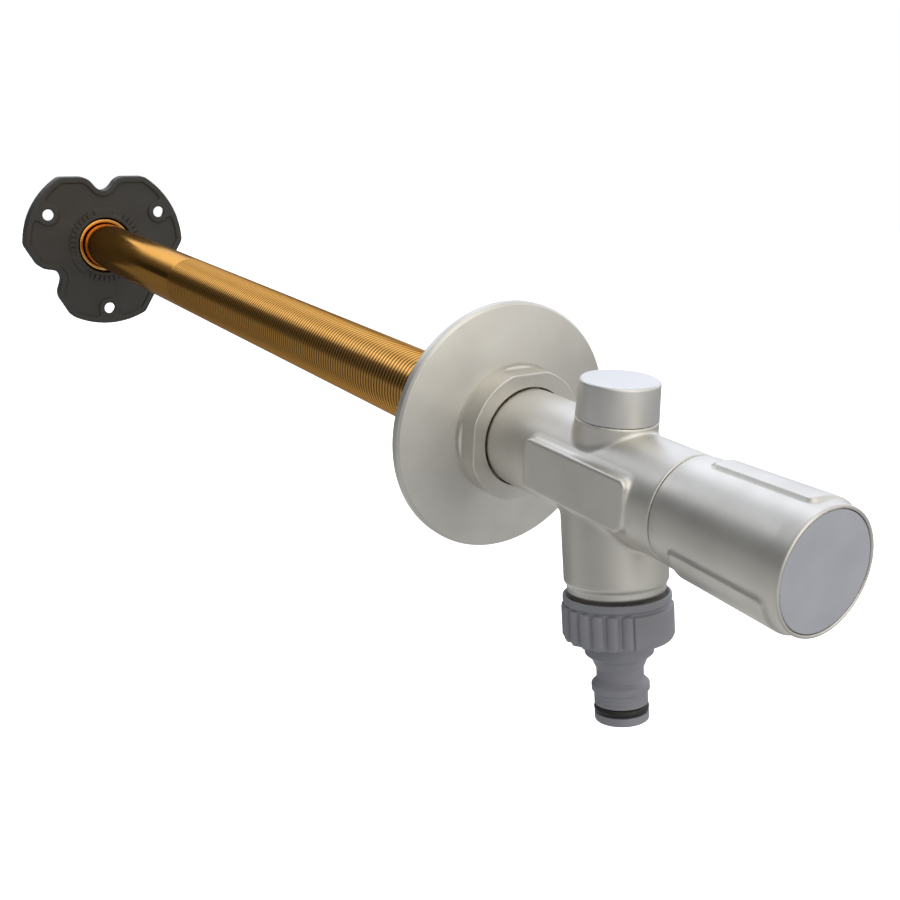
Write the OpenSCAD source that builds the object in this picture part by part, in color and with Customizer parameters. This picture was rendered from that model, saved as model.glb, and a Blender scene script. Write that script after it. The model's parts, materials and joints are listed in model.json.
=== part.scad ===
// Frost free sillcock, in millimetres.
// The wall tube lies along Y and the wall's outer face is the plane y = 0.
// The mounting plate is at +Y inside the building, the handle at -Y outside it, and +Z is up.
// Angles round the tube axis count from +X towards +Z.

/* [Wall tube] */
// Radius of the tube over its thread
tube_r = 13.3; // [13.0:0.1:13.5]
// Radius of the tube's bore
tube_bore_r = 10.6; // [10.2:0.1:11.2]
// Pitch of the tube's thread
thread_pitch = 2; // [1:0.5:3]
// Depth of the tube's thread
thread_depth = 1.1; // [0.5:0.1:1.3]
// Plain stretch of tube in front of the mounting plate
tube_plain_len = 143; // [40:1:260]
// Length of tube that is screwed into the body
tube_engage = 10; // [8:0.5:14]
// Distance from the wall's outer face to the front of the mounting plate
plate_dist = 419; // [320:1:520]

/* [Mounting plate] */
// Radius of the three lobes
plate_r = 48.4; // [47:0.1:52]
// Distance from the centre to the flats between the lobes
plate_flat = 41.2; // [40.5:0.1:42.5]
// Radius of the rounded corner between a lobe and a flat
plate_corner_r = 6; // [4.5:0.5:7]
// Radius of the bottom of the notches
notch_r = 5.1; // [4:0.1:5.5]
// Distance from the centre to the bottom of the notches
notch_floor = 33.2; // [31:0.1:34.5]
// Radius of the rounded mouth of the notches
notch_mouth_r = 8.5; // [7.5:0.1:9]
// Width of the raised border
plate_border = 3.5; // [2:0.1:4]
// Depth of the whole plate
plate_depth = 8; // [7:0.5:12]
// Thickness of the web between the border and the hub
plate_web = 4; // [3:0.5:5]
// Depth of the pockets in the front
plate_pocket = 1.4; // [1.2:0.1:2.5]
// Radius of the central hole
plate_hole_r = 16.8; // [16.4:0.1:17.4]
// Radius of the hub on the back
plate_hub_r = 24; // [22.8:0.1:27]
// Inner radius of the raised ring on the front
plate_ring_in = 19; // [18:0.1:20]
// Outer radius of the raised ring on the front
plate_ring_out = 22.3; // [21:0.1:24]
// Height of the raised ring
plate_ring_h = 1; // [0.4:0.1:1.1]
// Length of each of the raised ring's three arcs, in degrees
plate_ring_arc = 31; // [20:1:60]
// Middle of the first of those arcs, in degrees
plate_ring_angle = 92; // [80:1:100]
// Radius of the circle of screw holes
bolt_circle_r = 39; // [37:0.1:40]
// Radius of the screw holes
bolt_hole_r = 3.2; // [2.2:0.1:3.6]
// Radius of the bosses round the screw holes
bolt_boss_r = 6.5; // [5:0.1:7]

/* [Inlet fitting] */
// Radius of the spigot in the plate's hole
spigot_r = 16; // [15.7:0.1:16.3]
// Depth of the spigot's front behind the plate's front
spigot_recess = 2; // [1:0.5:4]
// Radius of the ring gap round the tube at the spigot's front
spigot_gap_r = 14.5; // [14:0.1:15]
// Depth of that ring gap
spigot_gap_depth = 3; // [1:0.5:4]
// Depth of the socket that takes the tube
socket_depth = 9; // [7:0.5:12]
// Radius of the flange behind the plate
flange_r = 21; // [20:0.5:23]
// Thickness of the flange
flange_t = 4; // [3:0.5:8]
// Width across the flats of the spanner hexagon
hex_af = 36; // [32:1:38]
// Length of the spanner hexagon
hex_len = 12; // [8:1:16]
// Radius of the pipe thread at the inlet
stub_r = 13.1; // [13:0.1:13.6]
// Length of the pipe thread at the inlet
stub_len = 14; // [10:1:20]
// Radius of the water inlet
inlet_bore_r = 6.5; // [5:0.1:6.8]

/* [Main valve] */
// Turns of the handle from closed to open
handle_turns = 2; // [1:1:2]
// Travel of the valve for one turn of the handle
valve_lead = 2; // [1.5:0.1:2]
// Length of the chamber in front of the valve seat
chamber_len = 12; // [11.5:0.5:14]
// Width of the seat's lip
seat_lip_w = 1.1; // [0.8:0.1:1.3]
// Height of the seat's lip
seat_lip_h = 1; // [0.5:0.1:1.5]
// Radius of the valve carrier's head
carrier_r = 9.6; // [9.2:0.1:9.8]
// Length of the valve carrier's head
carrier_head_len = 4.5; // [4:0.1:5]
// Width of the valve carrier's square stem
carrier_square = 13; // [12:0.1:13.2]
// Length of the valve carrier's square stem
carrier_stem_len = 17.5; // [15:0.5:25]
// Thickness of the web between the carrier's thread and its washer
carrier_web = 3.9; // [3.5:0.1:4.4]
// Radius of the seat washer
seat_washer_r = 8.2; // [8:0.1:8.6]
// Thickness of the seat washer
seat_washer_t = 3.5; // [3:0.1:3.8]
// How far the seat washer stands out of the carrier
seat_washer_proud = 1; // [0.5:0.1:1.5]
// Thickness of the disc that guides the carrier
carrier_guide_t = 3; // [2:0.5:4]

/* [Drive] */
// Radius of the drive rod
rod_r = 4; // [3.5:0.1:4.4]
// Number of guides that hold the drive rod
rod_guide_count = 3; // [1:1:5]
// Length of each rod guide
rod_guide_len = 10; // [6:1:16]
// Thickness of a rod guide's fins
rod_fin_t = 2; // [1:0.5:3]
// Radius of the rod guide's hub
rod_hub_r = 5.8; // [5.2:0.1:7]
// Radius of the spindle
spindle_r = 5; // [4.8:0.1:5.4]
// Radius of the spindle's sleeve on the drive rod
sleeve_r = 6.5; // [6:0.1:7]
// Length of the spindle's sleeve
sleeve_len = 16; // [12:0.5:20]
// Depth of the rod in the spindle's sleeve
rod_depth = 12; // [9:0.5:13]
// Radius of the spindle's thrust collar
thrust_r = 8; // [7.5:0.1:9]
// Thickness of the spindle's thrust collar
thrust_t = 3; // [2:0.5:4]
// Thickness of the thrust washer
thrust_washer_t = 1; // [0.5:0.1:1.5]
// Radius of the pin that joins rod and spindle
drive_pin_r = 1.2; // [0.8:0.1:1.5]
// Width of the square at the spindle's front end
drive_square = 7; // [5.8:0.1:7.4]

/* [Valve body] */
// Outer radius of the body
body_r = 15.7; // [15.3:0.1:16]
// Length of the body from its rear face to the seam at the handle
body_len = 73.3; // [70:0.1:80]
// Radius of the waterway
waterway_r = 11.2; // [11:0.1:11.6]
// Length of the waterway
waterway_len = 38; // [36:0.5:40]
// Radius of the nose inside the handle
nose_r = 12.8; // [12.2:0.1:13]
// Length of the nose inside the handle
nose_len = 8; // [5:0.5:8.5]
// Distance from the body's rear face to the spout's axis
spout_dist = 41.3; // [40:0.1:42.5]
// Lean of the spout towards the handle, in degrees
spout_tilt = 10.7; // [8:0.1:12]
// Radius of the spout
spout_r = 15.35; // [15:0.05:15.6]
// Length of the full spout below the tube axis
spout_len = 30.3; // [29:0.1:32]
// Radius of the spout's neck
spout_neck_r = 14.5; // [14:0.1:14.8]
// Radius of the hose thread on the spout
hose_thread_r = 13.1; // [12.8:0.1:13.2]
// Length of the hose thread on the spout
hose_thread_len = 7.9; // [7.5:0.1:10]
// Radius of the passage from the waterway to the spout
spout_bore_r = 6.8; // [6:0.1:6.9]
// Radius of the pocket for the check valve
check_pocket_r = 9.5; // [9.2:0.1:9.8]
// Height of the name pad's face out from the tube axis
pad_out = 17.3; // [16.8:0.1:18]
// Length of the name pad's face
pad_len = 42.4; // [30:0.1:44]
// Distance from the body's rear face to the name pad's face
pad_dist = 22.6; // [20:0.1:24]
// Lowest edge of the name pad's face
pad_low = -5.7; // [-7:0.1:-4]
// Highest edge of the name pad's face
pad_high = 8.3; // [6:0.1:8.4]
// Bevel round the name pad
pad_bevel = 0.9; // [0.4:0.1:1.2]

/* [Headwork] */
// Radius of the headwork bush
bush_r = 10.3; // [9.8:0.1:10.6]
// Width across the flats of the bush's hexagon
bush_af = 22; // [21:0.5:22.5]
// Thickness of the bush's hexagon
bush_hex_t = 4; // [3:0.5:5]

/* [Handle] */
// Length of the handle
handle_len = 44.7; // [44:0.1:50]
// Radius of the handle just in front of the seam
handle_rear_r = 15.9; // [15.8:0.1:16.1]
// Radius of the handle at its front crease
handle_front_r = 16.9; // [16.7:0.1:17.1]
// Width of the band at the handle's front
handle_band = 4.5; // [3:0.1:6]
// Bevel on the handle's rim
handle_bevel = 0.8; // [0.3:0.1:0.9]
// Gap between the body and the handle
seam_gap = 0.3; // [0.2:0.1:0.8]
// Radius of the handle's bore
handle_bore_r = 13.6; // [13.4:0.1:14]
// Middle of the first grip pad, in degrees
grip_angle = 59; // [40:1:80]
// Width of a grip pad's face, in degrees
grip_width = 81; // [60:1:90]
// Slope of a grip pad's sides, in degrees at their foot
grip_slope = 4.3; // [2:0.1:6]
// Radius of a grip pad at its rear end
grip_rear_r = 17; // [16.9:0.1:17.6]
// Radius of a grip pad at its front end
grip_front_r = 17.9; // [17.7:0.1:18.4]
// Distance from the seam to the rear end of a grip pad
grip_start = 10; // [8:0.1:14]
// Length of a grip pad's face
grip_len = 30.4; // [24:0.1:30.6]
// Radius of the end disc
disc_r = 15.75; // [15.6:0.05:15.85]
// Thickness of the end disc
disc_t = 2.6; // [2:0.1:3]
// Depth of the end disc behind the rim
disc_recess = 0.2; // [0:0.1:0.4]
// Length of the insert inside the handle
insert_len = 22; // [20:0.5:23]

/* [Rosette] */
// Radius of the escutcheon
rosette_r = 41; // [38:0.5:50]
// Thickness of the escutcheon at its rim
rosette_t = 3.3; // [3:0.1:5]
// Rise of the escutcheon from its rim to the collar nut
rosette_rise = 3.2; // [2:0.1:5]
// Bevel on the escutcheon's rim
rosette_bevel = 0.9; // [0.3:0.1:1.2]
// Radius of the wall gasket
gasket_r = 35.7; // [32:0.1:37]
// Inner radius of the wall gasket
gasket_in_r = 24.3; // [22:0.1:30]
// Thickness of the wall gasket
gasket_t = 2; // [1:0.1:2.4]
// Radius of the collar nut
collar_r = 21.5; // [21:0.1:23]
// Width across the four flats of the collar nut
collar_af = 41; // [39:0.5:42]
// Height of the collar nut
collar_h = 8.1; // [7.5:0.1:10]
// Length of the collar nut's thread in front of the escutcheon
collar_thread_len = 2.4; // [1.5:0.1:3]
// Height of the round flange below the flats
collar_flange = 1.2; // [0.5:0.1:2]
// Radius of the collar nut's sleeve in the escutcheon
collar_sleeve_r = 16; // [15.4:0.1:16.4]
// Radius of the collar nut's mouth round the body
collar_mouth_r = 16.15; // [16.05:0.05:17]
// How far the body reaches into the collar nut
collar_overlap = 0.6; // [0.4:0.1:1]
// Travel of the rosette along its thread
rosette_travel = 4; // [1:0.5:4]

/* [Vent] */
// Radius of the vent boss
vent_r = 12; // [11.6:0.1:12.4]
// Height of the vent boss above the tube axis
vent_seam = 17.6; // [17:0.1:20]
// Height of the vent cap's top above the tube axis
vent_top = 28.7; // [28:0.1:32]
// Radius of the vent cap at its top
vent_cap_top_r = 11.45; // [11.3:0.05:11.6]
// Rounding of the vent cap's top edge
vent_cap_round = 1.1; // [0.5:0.1:1.4]
// Wall of the vent cap
vent_cap_wall = 1.4; // [1:0.1:1.6]
// Height of the vent's spigot inside the cap
vent_spigot_h = 5.4; // [4.5:0.1:6]
// Radius of the vent's chamber
vent_chamber_r = 7.6; // [7.2:0.1:8]
// Height of the chamber's floor above the tube axis
vent_floor = 12.6; // [12:0.1:13]
// Radius of the vent float
vent_float_r = 5.9; // [5.4:0.1:6]
// Thickness of the vent float
vent_float_t = 1.8; // [1.2:0.1:2]
// Travel of the vent float
vent_travel = 1.5; // [0.8:0.1:1.6]
// Thickness of the vent's seal
vent_seal_t = 1.5; // [1:0.1:1.6]
// Thickness of the vent's retainer
vent_retainer_t = 2.7; // [2:0.1:3]

/* [Check valve] */
// Radius of the hole in the check valve's seat
check_seat_r = 5; // [4:0.1:5.2]
// Thickness of the check valve's seat
check_seat_t = 2; // [1:0.1:2.4]
// Radius of the poppet
poppet_r = 5.9; // [5.5:0.1:6.2]
// Travel of the poppet
poppet_travel = 2.2; // [1:0.1:2.3]
// Radius of the poppet's stem
poppet_stem_r = 1.2; // [0.8:0.1:1.5]
// Turns of the check valve's spring
spring_turns = 3.5; // [2:0.5:3.5]
// Radius of the spring's wire
spring_wire_r = 0.3; // [0.2:0.05:0.3]
// Radius of the spring's winding
spring_r = 3; // [2.5:0.1:3.6]

/* [Hose connector] */
// Radius of the union nut's grip
union_r = 16.45; // [16.1:0.05:17]
// Radius of the union nut's lip
union_lip_r = 15.9; // [15.6:0.1:16]
// Height of the union nut's lip
union_lip_h = 2.1; // [1.6:0.1:3]
// Thickness of the union nut's web
union_web = 1.9; // [1.4:0.1:2.4]
// Bevel at the union nut's bottom
union_bevel = 1; // [0.5:0.1:1.2]
// Ribs in each of the union nut's two groups
union_ribs = 7; // [3:1:8]
// Spacing of the ribs, in degrees
union_rib_step = 16.4; // [14:0.1:18]
// Middle of the first group of ribs, in degrees
union_rib_angle = 191; // [180:1:200]
// Radius of the hollows between the ribs
union_hollow_r = 1.9; // [1.6:0.1:2.1]
// Thickness of the hose washer
hose_washer_t = 2; // [1.5:0.1:2.5]
// Thickness of the nipple's inner flange
nipple_flange_t = 1.8; // [1.4:0.1:2.4]
// Radius of the nipple's bore
nipple_bore_r = 4.4; // [3.5:0.1:4.8]
// Radius of the nipple's collar below the union nut
nipple_collar_r = 10.2; // [9.5:0.1:10.6]
// Length of the nipple's collar below the union nut
nipple_collar_len = 5; // [4:0.1:7]
// Radius of the nipple's neck
nipple_neck_r = 7; // [6.4:0.1:7.4]
// Length of the nipple's neck with its slopes
nipple_neck_len = 9.2; // [8:0.1:11]
// Radius of the ridge that a hose connector locks on
nipple_ridge_r = 8.6; // [8.2:0.1:9]
// Width of that ridge
nipple_ridge_w = 1.8; // [1.2:0.1:2.4]
// Radius of the nipple's barrel
nipple_r = 7.95; // [7.7:0.05:8.05]
// Length of the nipple's barrel from the ridge to its end
nipple_len = 9.4; // [9:0.1:11]
// Radius of the nipple's end collar
nipple_tip_r = 8.05; // [7.8:0.05:8.1]
// Length of the nipple's end collar
nipple_tip_len = 2.6; // [2:0.1:3]
// Radius of the cord of the nipple's sealing ring
nipple_cord_r = 1.2; // [0.9:0.05:1.25]

/* [Clearances] */
// Radial clearance of threads and turning fits
fit_gap = 0.05; // [0.02:0.01:0.09]
// Clearance between pieces that are only placed together
place_gap = 0.1; // [0.05:0.01:0.2]
// Clearance of the collar nut's sleeve in the escutcheon
sleeve_gap = 0.3; // [0.2:0.05:0.6]
// Clearance round the square stem and the square drive
square_gap = 0.2; // [0.1:0.05:0.3]

/* [Hidden] */

// Facets asked for on round faces, and on the small round faces of swept pieces
round_fn = 64;
// A cut runs this far past the face that it opens
over = 1;
// Small edge break on turned pieces
edge = 0.5;

// Middle of the plate's first lobe
lobe_a = 30;

// Stations along Y, from the plate at the inlet to the front of the tap
plate_front = plate_dist;
plate_back = plate_front + plate_depth;
spigot_front = plate_front + spigot_recess;
tube_end = spigot_front + socket_depth;
chamber_front = tube_end + carrier_guide_t;
seat_y = chamber_front + chamber_len;
chamber_end = seat_y + seat_lip_h;
flange_end = plate_back + flange_t;
hex_end = flange_end + hex_len;
stub_end = hex_end + stub_len;
thread_end = plate_front - tube_plain_len;
nut_base = -(rosette_t + rosette_rise);
nut_front = nut_base - collar_h;
body_rear = nut_front + collar_overlap;
tube_front = body_rear - tube_engage;
tube_seal_t = 2;
waterway_rear = tube_front - tube_seal_t;
bush_rear = waterway_rear - waterway_len;
seam_y = body_rear - body_len;
nose_front = seam_y - nose_len;
handle_rear = seam_y - seam_gap;
handle_front = handle_rear - handle_len;
crease_y = handle_front + handle_band + handle_bevel;
disc_front = handle_front + disc_recess;
disc_back = disc_front + disc_t;
spout_y = body_rear - spout_dist;

// Main valve
valve_travel = handle_turns * valve_lead;
head_front = seat_y - seat_washer_proud;
washer_floor = seat_y - seat_washer_t;
head_rear = head_front - carrier_head_len - seat_washer_proud;
stem_end = head_rear - carrier_stem_len;
carrier_bore_end = washer_floor - carrier_web;
rod_end_gap = 0.6;
rod_end = carrier_bore_end - valve_travel - rod_end_gap;
washer_hole_r = 2.2;
washer_screw_r = 1.9;
washer_screw_len = 2.2;
washer_screw_head_r = 3.6;
washer_screw_head_t = 1.8;
guide_port_r = 1.5;
guide_port_at = (carrier_square / 2 + square_gap + tube_bore_r) / 2;

// Drive
thrust_front = bush_rear + thrust_washer_t;
thrust_rear = thrust_front + thrust_t;
sleeve_end = thrust_rear + sleeve_len;
rod_front = sleeve_end - rod_depth;
rod_socket_end = rod_front - over;
pin_y = sleeve_end - rod_depth / 2;
pin_half = sqrt(pow(sleeve_r, 2) - pow(drive_pin_r, 2)) - place_gap;
bush_proud = 0.6;
bush_front = nose_front - bush_proud;
hex_front = bush_front - bush_hex_t;
clip_gap = 0.5;
clip_t = 1;
clip_r = 7;
clip_groove_depth = 0.8;
clip_groove_r = spindle_r - clip_groove_depth;
clip_y = hex_front - clip_gap;
square_rear = clip_y - 2 * clip_t;
disc_clip_len = 3.3;
insert_front = disc_back + disc_clip_len + place_gap;
insert_rear = insert_front + insert_len;
insert_web_t = 2.5;
screw_head_r = 4;
screw_head_t = 3;
screw_head_room = 9;
insert_web_front = insert_front + screw_head_room;
insert_web_rear = insert_web_front + insert_web_t;
square_front = insert_web_rear + clip_gap;
handle_screw_r = 1.9;
handle_screw_len = 9;
ring_cord_r = 0.66;
ring_groove_w = 1.8;
ring_groove_depth = 1.4;
ring_groove_r = spindle_r - ring_groove_depth;
ring_spacing = 6;
ring_places = [bush_rear - ring_spacing, bush_rear - 2 * ring_spacing];
bush_groove_at = 3.2;
bush_groove_y = bush_rear - bush_groove_at;
bush_cord_r = 1;
bush_groove_w = 2.4;
bush_groove_r = bush_r - 2 * bush_cord_r - place_gap;

// Spout, in its own frame: z = 0 on the tube axis and down is negative
spout_chamfer = 1.5;
spout_foot = spout_len + spout_chamfer;
neck_len = 2.2;
neck_end = spout_foot + neck_len;
neck_chamfer = 0.6;
thread_top = neck_end + neck_chamfer;
spout_end = thread_top + hose_thread_len;
check_rise = 0.8;
check_top = spout_foot - check_rise;
cage_r = check_pocket_r - fit_gap;
cage_wall = 2.55;
cage_in_r = cage_r - cage_wall;
cage_floor_t = 2;
seal_top = check_top + check_seat_t;
poppet_seal_t = 1.2;
poppet_disc_t = 1.2;
poppet_top = seal_top + poppet_seal_t;
poppet_low = poppet_top + poppet_disc_t;
cage_floor = spout_end - cage_floor_t;
stem_guide_len = 1.3;
stem_low = cage_floor + stem_guide_len;
cage_groove_at = 5.6;
cage_groove_z = check_top + cage_groove_at;
cage_cord_r = 0.8;
cage_groove_w = 1.9;
cage_groove_r = cage_r - 2 * cage_cord_r - place_gap;
washer_low = spout_end + hose_washer_t;
flange_low = washer_low + nipple_flange_t;
union_low = flange_low + union_web;
union_top = thread_top - square_gap;
grip_top = union_top + union_lip_h;
collar_low = union_low + nipple_collar_len;
ridge_top = collar_low + nipple_neck_len;
ridge_low = ridge_top + nipple_ridge_w;
nipple_end = ridge_low + nipple_len;
ring_groove_low = nipple_end - nipple_tip_len;
nipple_groove_w = 2 * nipple_cord_r + 2 * place_gap;
ring_groove_top = ring_groove_low - nipple_groove_w;
nipple_ring_z = (ring_groove_low + ring_groove_top) / 2;
nipple_ring_r = nipple_tip_r + place_gap - nipple_cord_r;
union_bore_r = hose_thread_r + fit_gap;

// Vent
vent_spigot_top = vent_seam + vent_spigot_h;
vent_throat_r = 6.4;
guide_r = vent_chamber_r - place_gap;
vent_guide_t = 1.4;
float_low = vent_floor + vent_guide_t;
float_high = float_low + vent_float_t;
vent_seal_low = float_high + vent_travel;
retainer_low = vent_seal_low + vent_seal_t;
vent_stem_r = 1.5;
vent_stem_len = 3.8;
vent_hole_r = 3.4;
float_gap = 0.5;
vent_bore_r = vent_float_r + float_gap;
cap_r = vent_r - place_gap;
cap_side_wall = vent_cap_wall + sleeve_gap;
cap_in_r = cap_r - cap_side_wall;
spigot_gap = 0.4;
vent_spigot_r = cap_in_r - spigot_gap;

// A solid turned about the tube axis from points of radius and y
module turned(points) {
    rotate([-90, 0, 0])
        rotate_extrude($fn = round_fn)
            polygon(points);
}

// A solid turned about a vertical axis from points of radius and z
module spun(points) {
    rotate_extrude($fn = round_fn)
        polygon(points);
}

// A round sealing ring about the tube axis
module cord_ring(ring_r, cord_r, y) {
    rotate([-90, 0, 0])
        translate([0, 0, y])
            rotate_extrude($fn = round_fn)
                translate([ring_r, 0])
                    circle(r = cord_r, $fn = round_fn);
}

// A round bar along Y between two stations
module bar(r, y_from, y_to, fn = round_fn) {
    translate([0, min(y_from, y_to), 0])
        rotate([-90, 0, 0])
            cylinder(r = r, h = abs(y_to - y_from), $fn = fn);
}

// A square bar along Y between two stations
module square_bar(width, y_from, y_to) {
    translate([-width / 2, min(y_from, y_to), -width / 2])
        cube([width, abs(y_to - y_from), width]);
}

// A slab across Y from an outline drawn in X and Z
module slab(y_from, y_to) {
    translate([0, max(y_from, y_to), 0])
        rotate([90, 0, 0])
            linear_extrude(abs(y_to - y_from))
                children();
}

// Places a piece in the spout's frame
module at_spout() {
    translate([0, spout_y, 0])
        rotate([-spout_tilt, 0, 0])
            children();
}

// Places a piece in the vent's frame
module at_vent() {
    translate([0, spout_y, 0])
        children();
}

// A ring of solid in the spout's frame, between two depths
module spout_ring(r_out, r_in, depth_from, depth_to) {
    at_spout()
        spun([[r_in, -depth_from], [r_out, -depth_from], [r_out, -depth_to], [r_in, -depth_to]]);
}

// Points of an arc, its angles in degrees
function arc(cx, cy, r, from, to, steps) =
    [for (i = [0 : steps]) let (a = from + (to - from) * i / steps) [cx + r * cos(a), cy + r * sin(a)]];

// Points turned about the origin
function turn(points, a) =
    [for (p = points) [p[0] * cos(a) - p[1] * sin(a), p[0] * sin(a) + p[1] * cos(a)]];

// One third of the plate's outline, round the notch at the top, drawn in by inset
function plate_third(inset) =
    let (
        corner_y = plate_flat - plate_corner_r,
        corner_x = sqrt(pow(plate_r - plate_corner_r, 2) - pow(corner_y, 2)),
        corner_a = atan2(corner_y, corner_x),
        notch_y = notch_floor + notch_r,
        mouth_y = plate_flat - notch_mouth_r,
        mouth_x = sqrt(pow(notch_r + notch_mouth_r, 2) - pow(notch_y - mouth_y, 2)),
        meet_a = atan2(notch_y - mouth_y, -mouth_x),
        lobe_start = lobe_a + 1,
        corner_start = corner_a + 6,
        notch_start = meet_a - 190,
        steps = 7
    )
    concat(
        arc(0, 0, plate_r - inset, lobe_start, corner_a, steps),
        arc(corner_x, corner_y, plate_corner_r - inset, corner_start, 90, steps),
        arc(mouth_x, mouth_y, notch_mouth_r - inset, 90, meet_a, steps),
        arc(0, notch_y, notch_r + inset, notch_start, -180 - notch_start, 2 * steps),
        arc(-mouth_x, mouth_y, notch_mouth_r - inset, 180 - meet_a, 90, steps),
        arc(-corner_x, corner_y, plate_corner_r - inset, 90, 180 - corner_start, steps),
        arc(0, 0, plate_r - inset, 180 - corner_a, 180 - lobe_start, steps)
    );

// The plate's whole outline, drawn in by inset
module plate_outline(inset) {
    polygon([for (a = [0, 120, 240]) each turn(plate_third(inset), a)]);
}

// Places a copy at each of the plate's screw holes
module at_bolts() {
    for (a = [0 : 120 : 240]) {
        rotate([0, 0, lobe_a + a])
            translate([bolt_circle_r, 0])
                children();
    }
}

// The three arcs of the plate's raised ring
module plate_ring() {
    half = plate_ring_arc / 2;
    reach = 2 * plate_ring_out;
    intersection() {
        difference() {
            circle(r = plate_ring_out, $fn = round_fn);
            circle(r = plate_ring_in, $fn = round_fn);
        }
        for (a = [plate_ring_angle : 120 : plate_ring_angle + 240]) {
            polygon([[0, 0], reach * [cos(a - half), sin(a - half)],
                reach * [cos(a + half), sin(a + half)]]);
        }
    }
}

module mounting_plate() {
    color("#3a3835")
        difference() {
            union() {
                slab(plate_front + plate_pocket, plate_front + plate_pocket + plate_web)
                    plate_outline(0);
                slab(plate_front, plate_back)
                    difference() {
                        plate_outline(0);
                        plate_outline(plate_border);
                    }
                slab(plate_front, plate_back)
                    at_bolts() circle(r = bolt_boss_r, $fn = round_fn);
                slab(plate_front + plate_pocket - plate_ring_h, plate_front + plate_pocket + over)
                    plate_ring();
                slab(plate_front + plate_pocket, plate_back)
                    circle(r = plate_hub_r, $fn = round_fn);
            }
            bar(plate_hole_r, plate_front - over, plate_back + over);
            slab(plate_front - over, plate_back + over)
                at_bolts() circle(r = bolt_hole_r, $fn = round_fn);
        }
}

module inlet_fitting() {
    color("#b5834a")
        difference() {
            union() {
                turned([[0, spigot_front], [spigot_r, spigot_front], [spigot_r, plate_back],
                    [flange_r, plate_back], [flange_r, flange_end], [0, flange_end]]);
                bar(hex_af / sqrt(3), flange_end - over, hex_end, 6);
                turned([[0, hex_end - over], [stub_r, hex_end - over], [stub_r, stub_end - edge],
                    [stub_r - edge, stub_end], [0, stub_end]]);
            }
            bar(spigot_gap_r, spigot_front - over, spigot_front + spigot_gap_depth);
            bar(tube_r + fit_gap, spigot_front, chamber_front);
            difference() {
                bar(tube_bore_r, chamber_front - over, chamber_end);
                bar(inlet_bore_r + seat_lip_w, seat_y, chamber_end + over);
            }
            bar(inlet_bore_r, seat_y - over, stub_end + over);
        }
}

module wall_tube() {
    turns = floor((thread_end - tube_front) / thread_pitch);
    ridges = [for (i = [0 : turns - 1]) each [
        [tube_r - thread_depth, tube_front + i * thread_pitch],
        [tube_r, tube_front + (i + 1 / 2) * thread_pitch]]];
    color("#c98a45")
        turned(concat(ridges, [
            [tube_r - thread_depth, tube_front + turns * thread_pitch],
            [tube_r, thread_end + thread_pitch / 2],
            [tube_r, tube_end],
            [tube_bore_r, tube_end],
            [tube_bore_r, tube_front]]));
}

module carrier_guide() {
    color("#b5834a")
        difference() {
            bar(tube_r, tube_end, chamber_front);
            square_bar(carrier_square + 2 * square_gap, tube_end - over, chamber_front + over);
            for (a = [0 : 90 : 270]) {
                rotate([0, a, 0])
                    translate([guide_port_at, 0, 0])
                        bar(guide_port_r, tube_end - over, chamber_front + over);
            }
        }
}

module rod_guides() {
    fin_r = tube_bore_r - place_gap;
    spacing = plate_dist / (rod_guide_count + 1);
    color("#e8e6df")
        for (i = [1 : rod_guide_count]) {
            from = i * spacing;
            to = from + rod_guide_len;
            difference() {
                union() {
                    bar(rod_hub_r, from, to);
                    intersection() {
                        bar(fin_r, from, to);
                        for (a = [0 : 120 : 240]) {
                            rotate([0, a, 0])
                                translate([0, from, -rod_fin_t / 2])
                                    cube([fin_r + over, rod_guide_len, rod_fin_t]);
                        }
                    }
                }
                bar(rod_r + fit_gap, from - over, to + over);
            }
        }
}

module tube_seal() {
    color("#202020")
        turned([[tube_bore_r, tube_front], [tube_r - place_gap, tube_front],
            [tube_r - place_gap, waterway_rear], [tube_bore_r, waterway_rear]]);
}

// The bare pad on the body's side, with a bevel all round
module name_pad() {
    near = body_rear - pad_dist;
    far = near - pad_len;
    skirt = pad_out - pad_bevel;
    foot = skirt - pad_bevel * 4;
    intersection() {
        slab(near + pad_bevel, far - pad_bevel)
            polygon([[-foot, pad_low - pad_bevel], [-skirt, pad_low - pad_bevel], [-pad_out, pad_low],
                [-pad_out, pad_high], [-skirt, pad_high + pad_bevel], [-foot, pad_high + pad_bevel]]);
        translate([0, 0, pad_low - pad_bevel])
            linear_extrude(pad_high - pad_low + 2 * pad_bevel)
                polygon([[-foot, near + pad_bevel], [-skirt, near + pad_bevel], [-pad_out, near],
                    [-pad_out, far], [-skirt, far - pad_bevel], [-foot, far - pad_bevel]]);
    }
}

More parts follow.
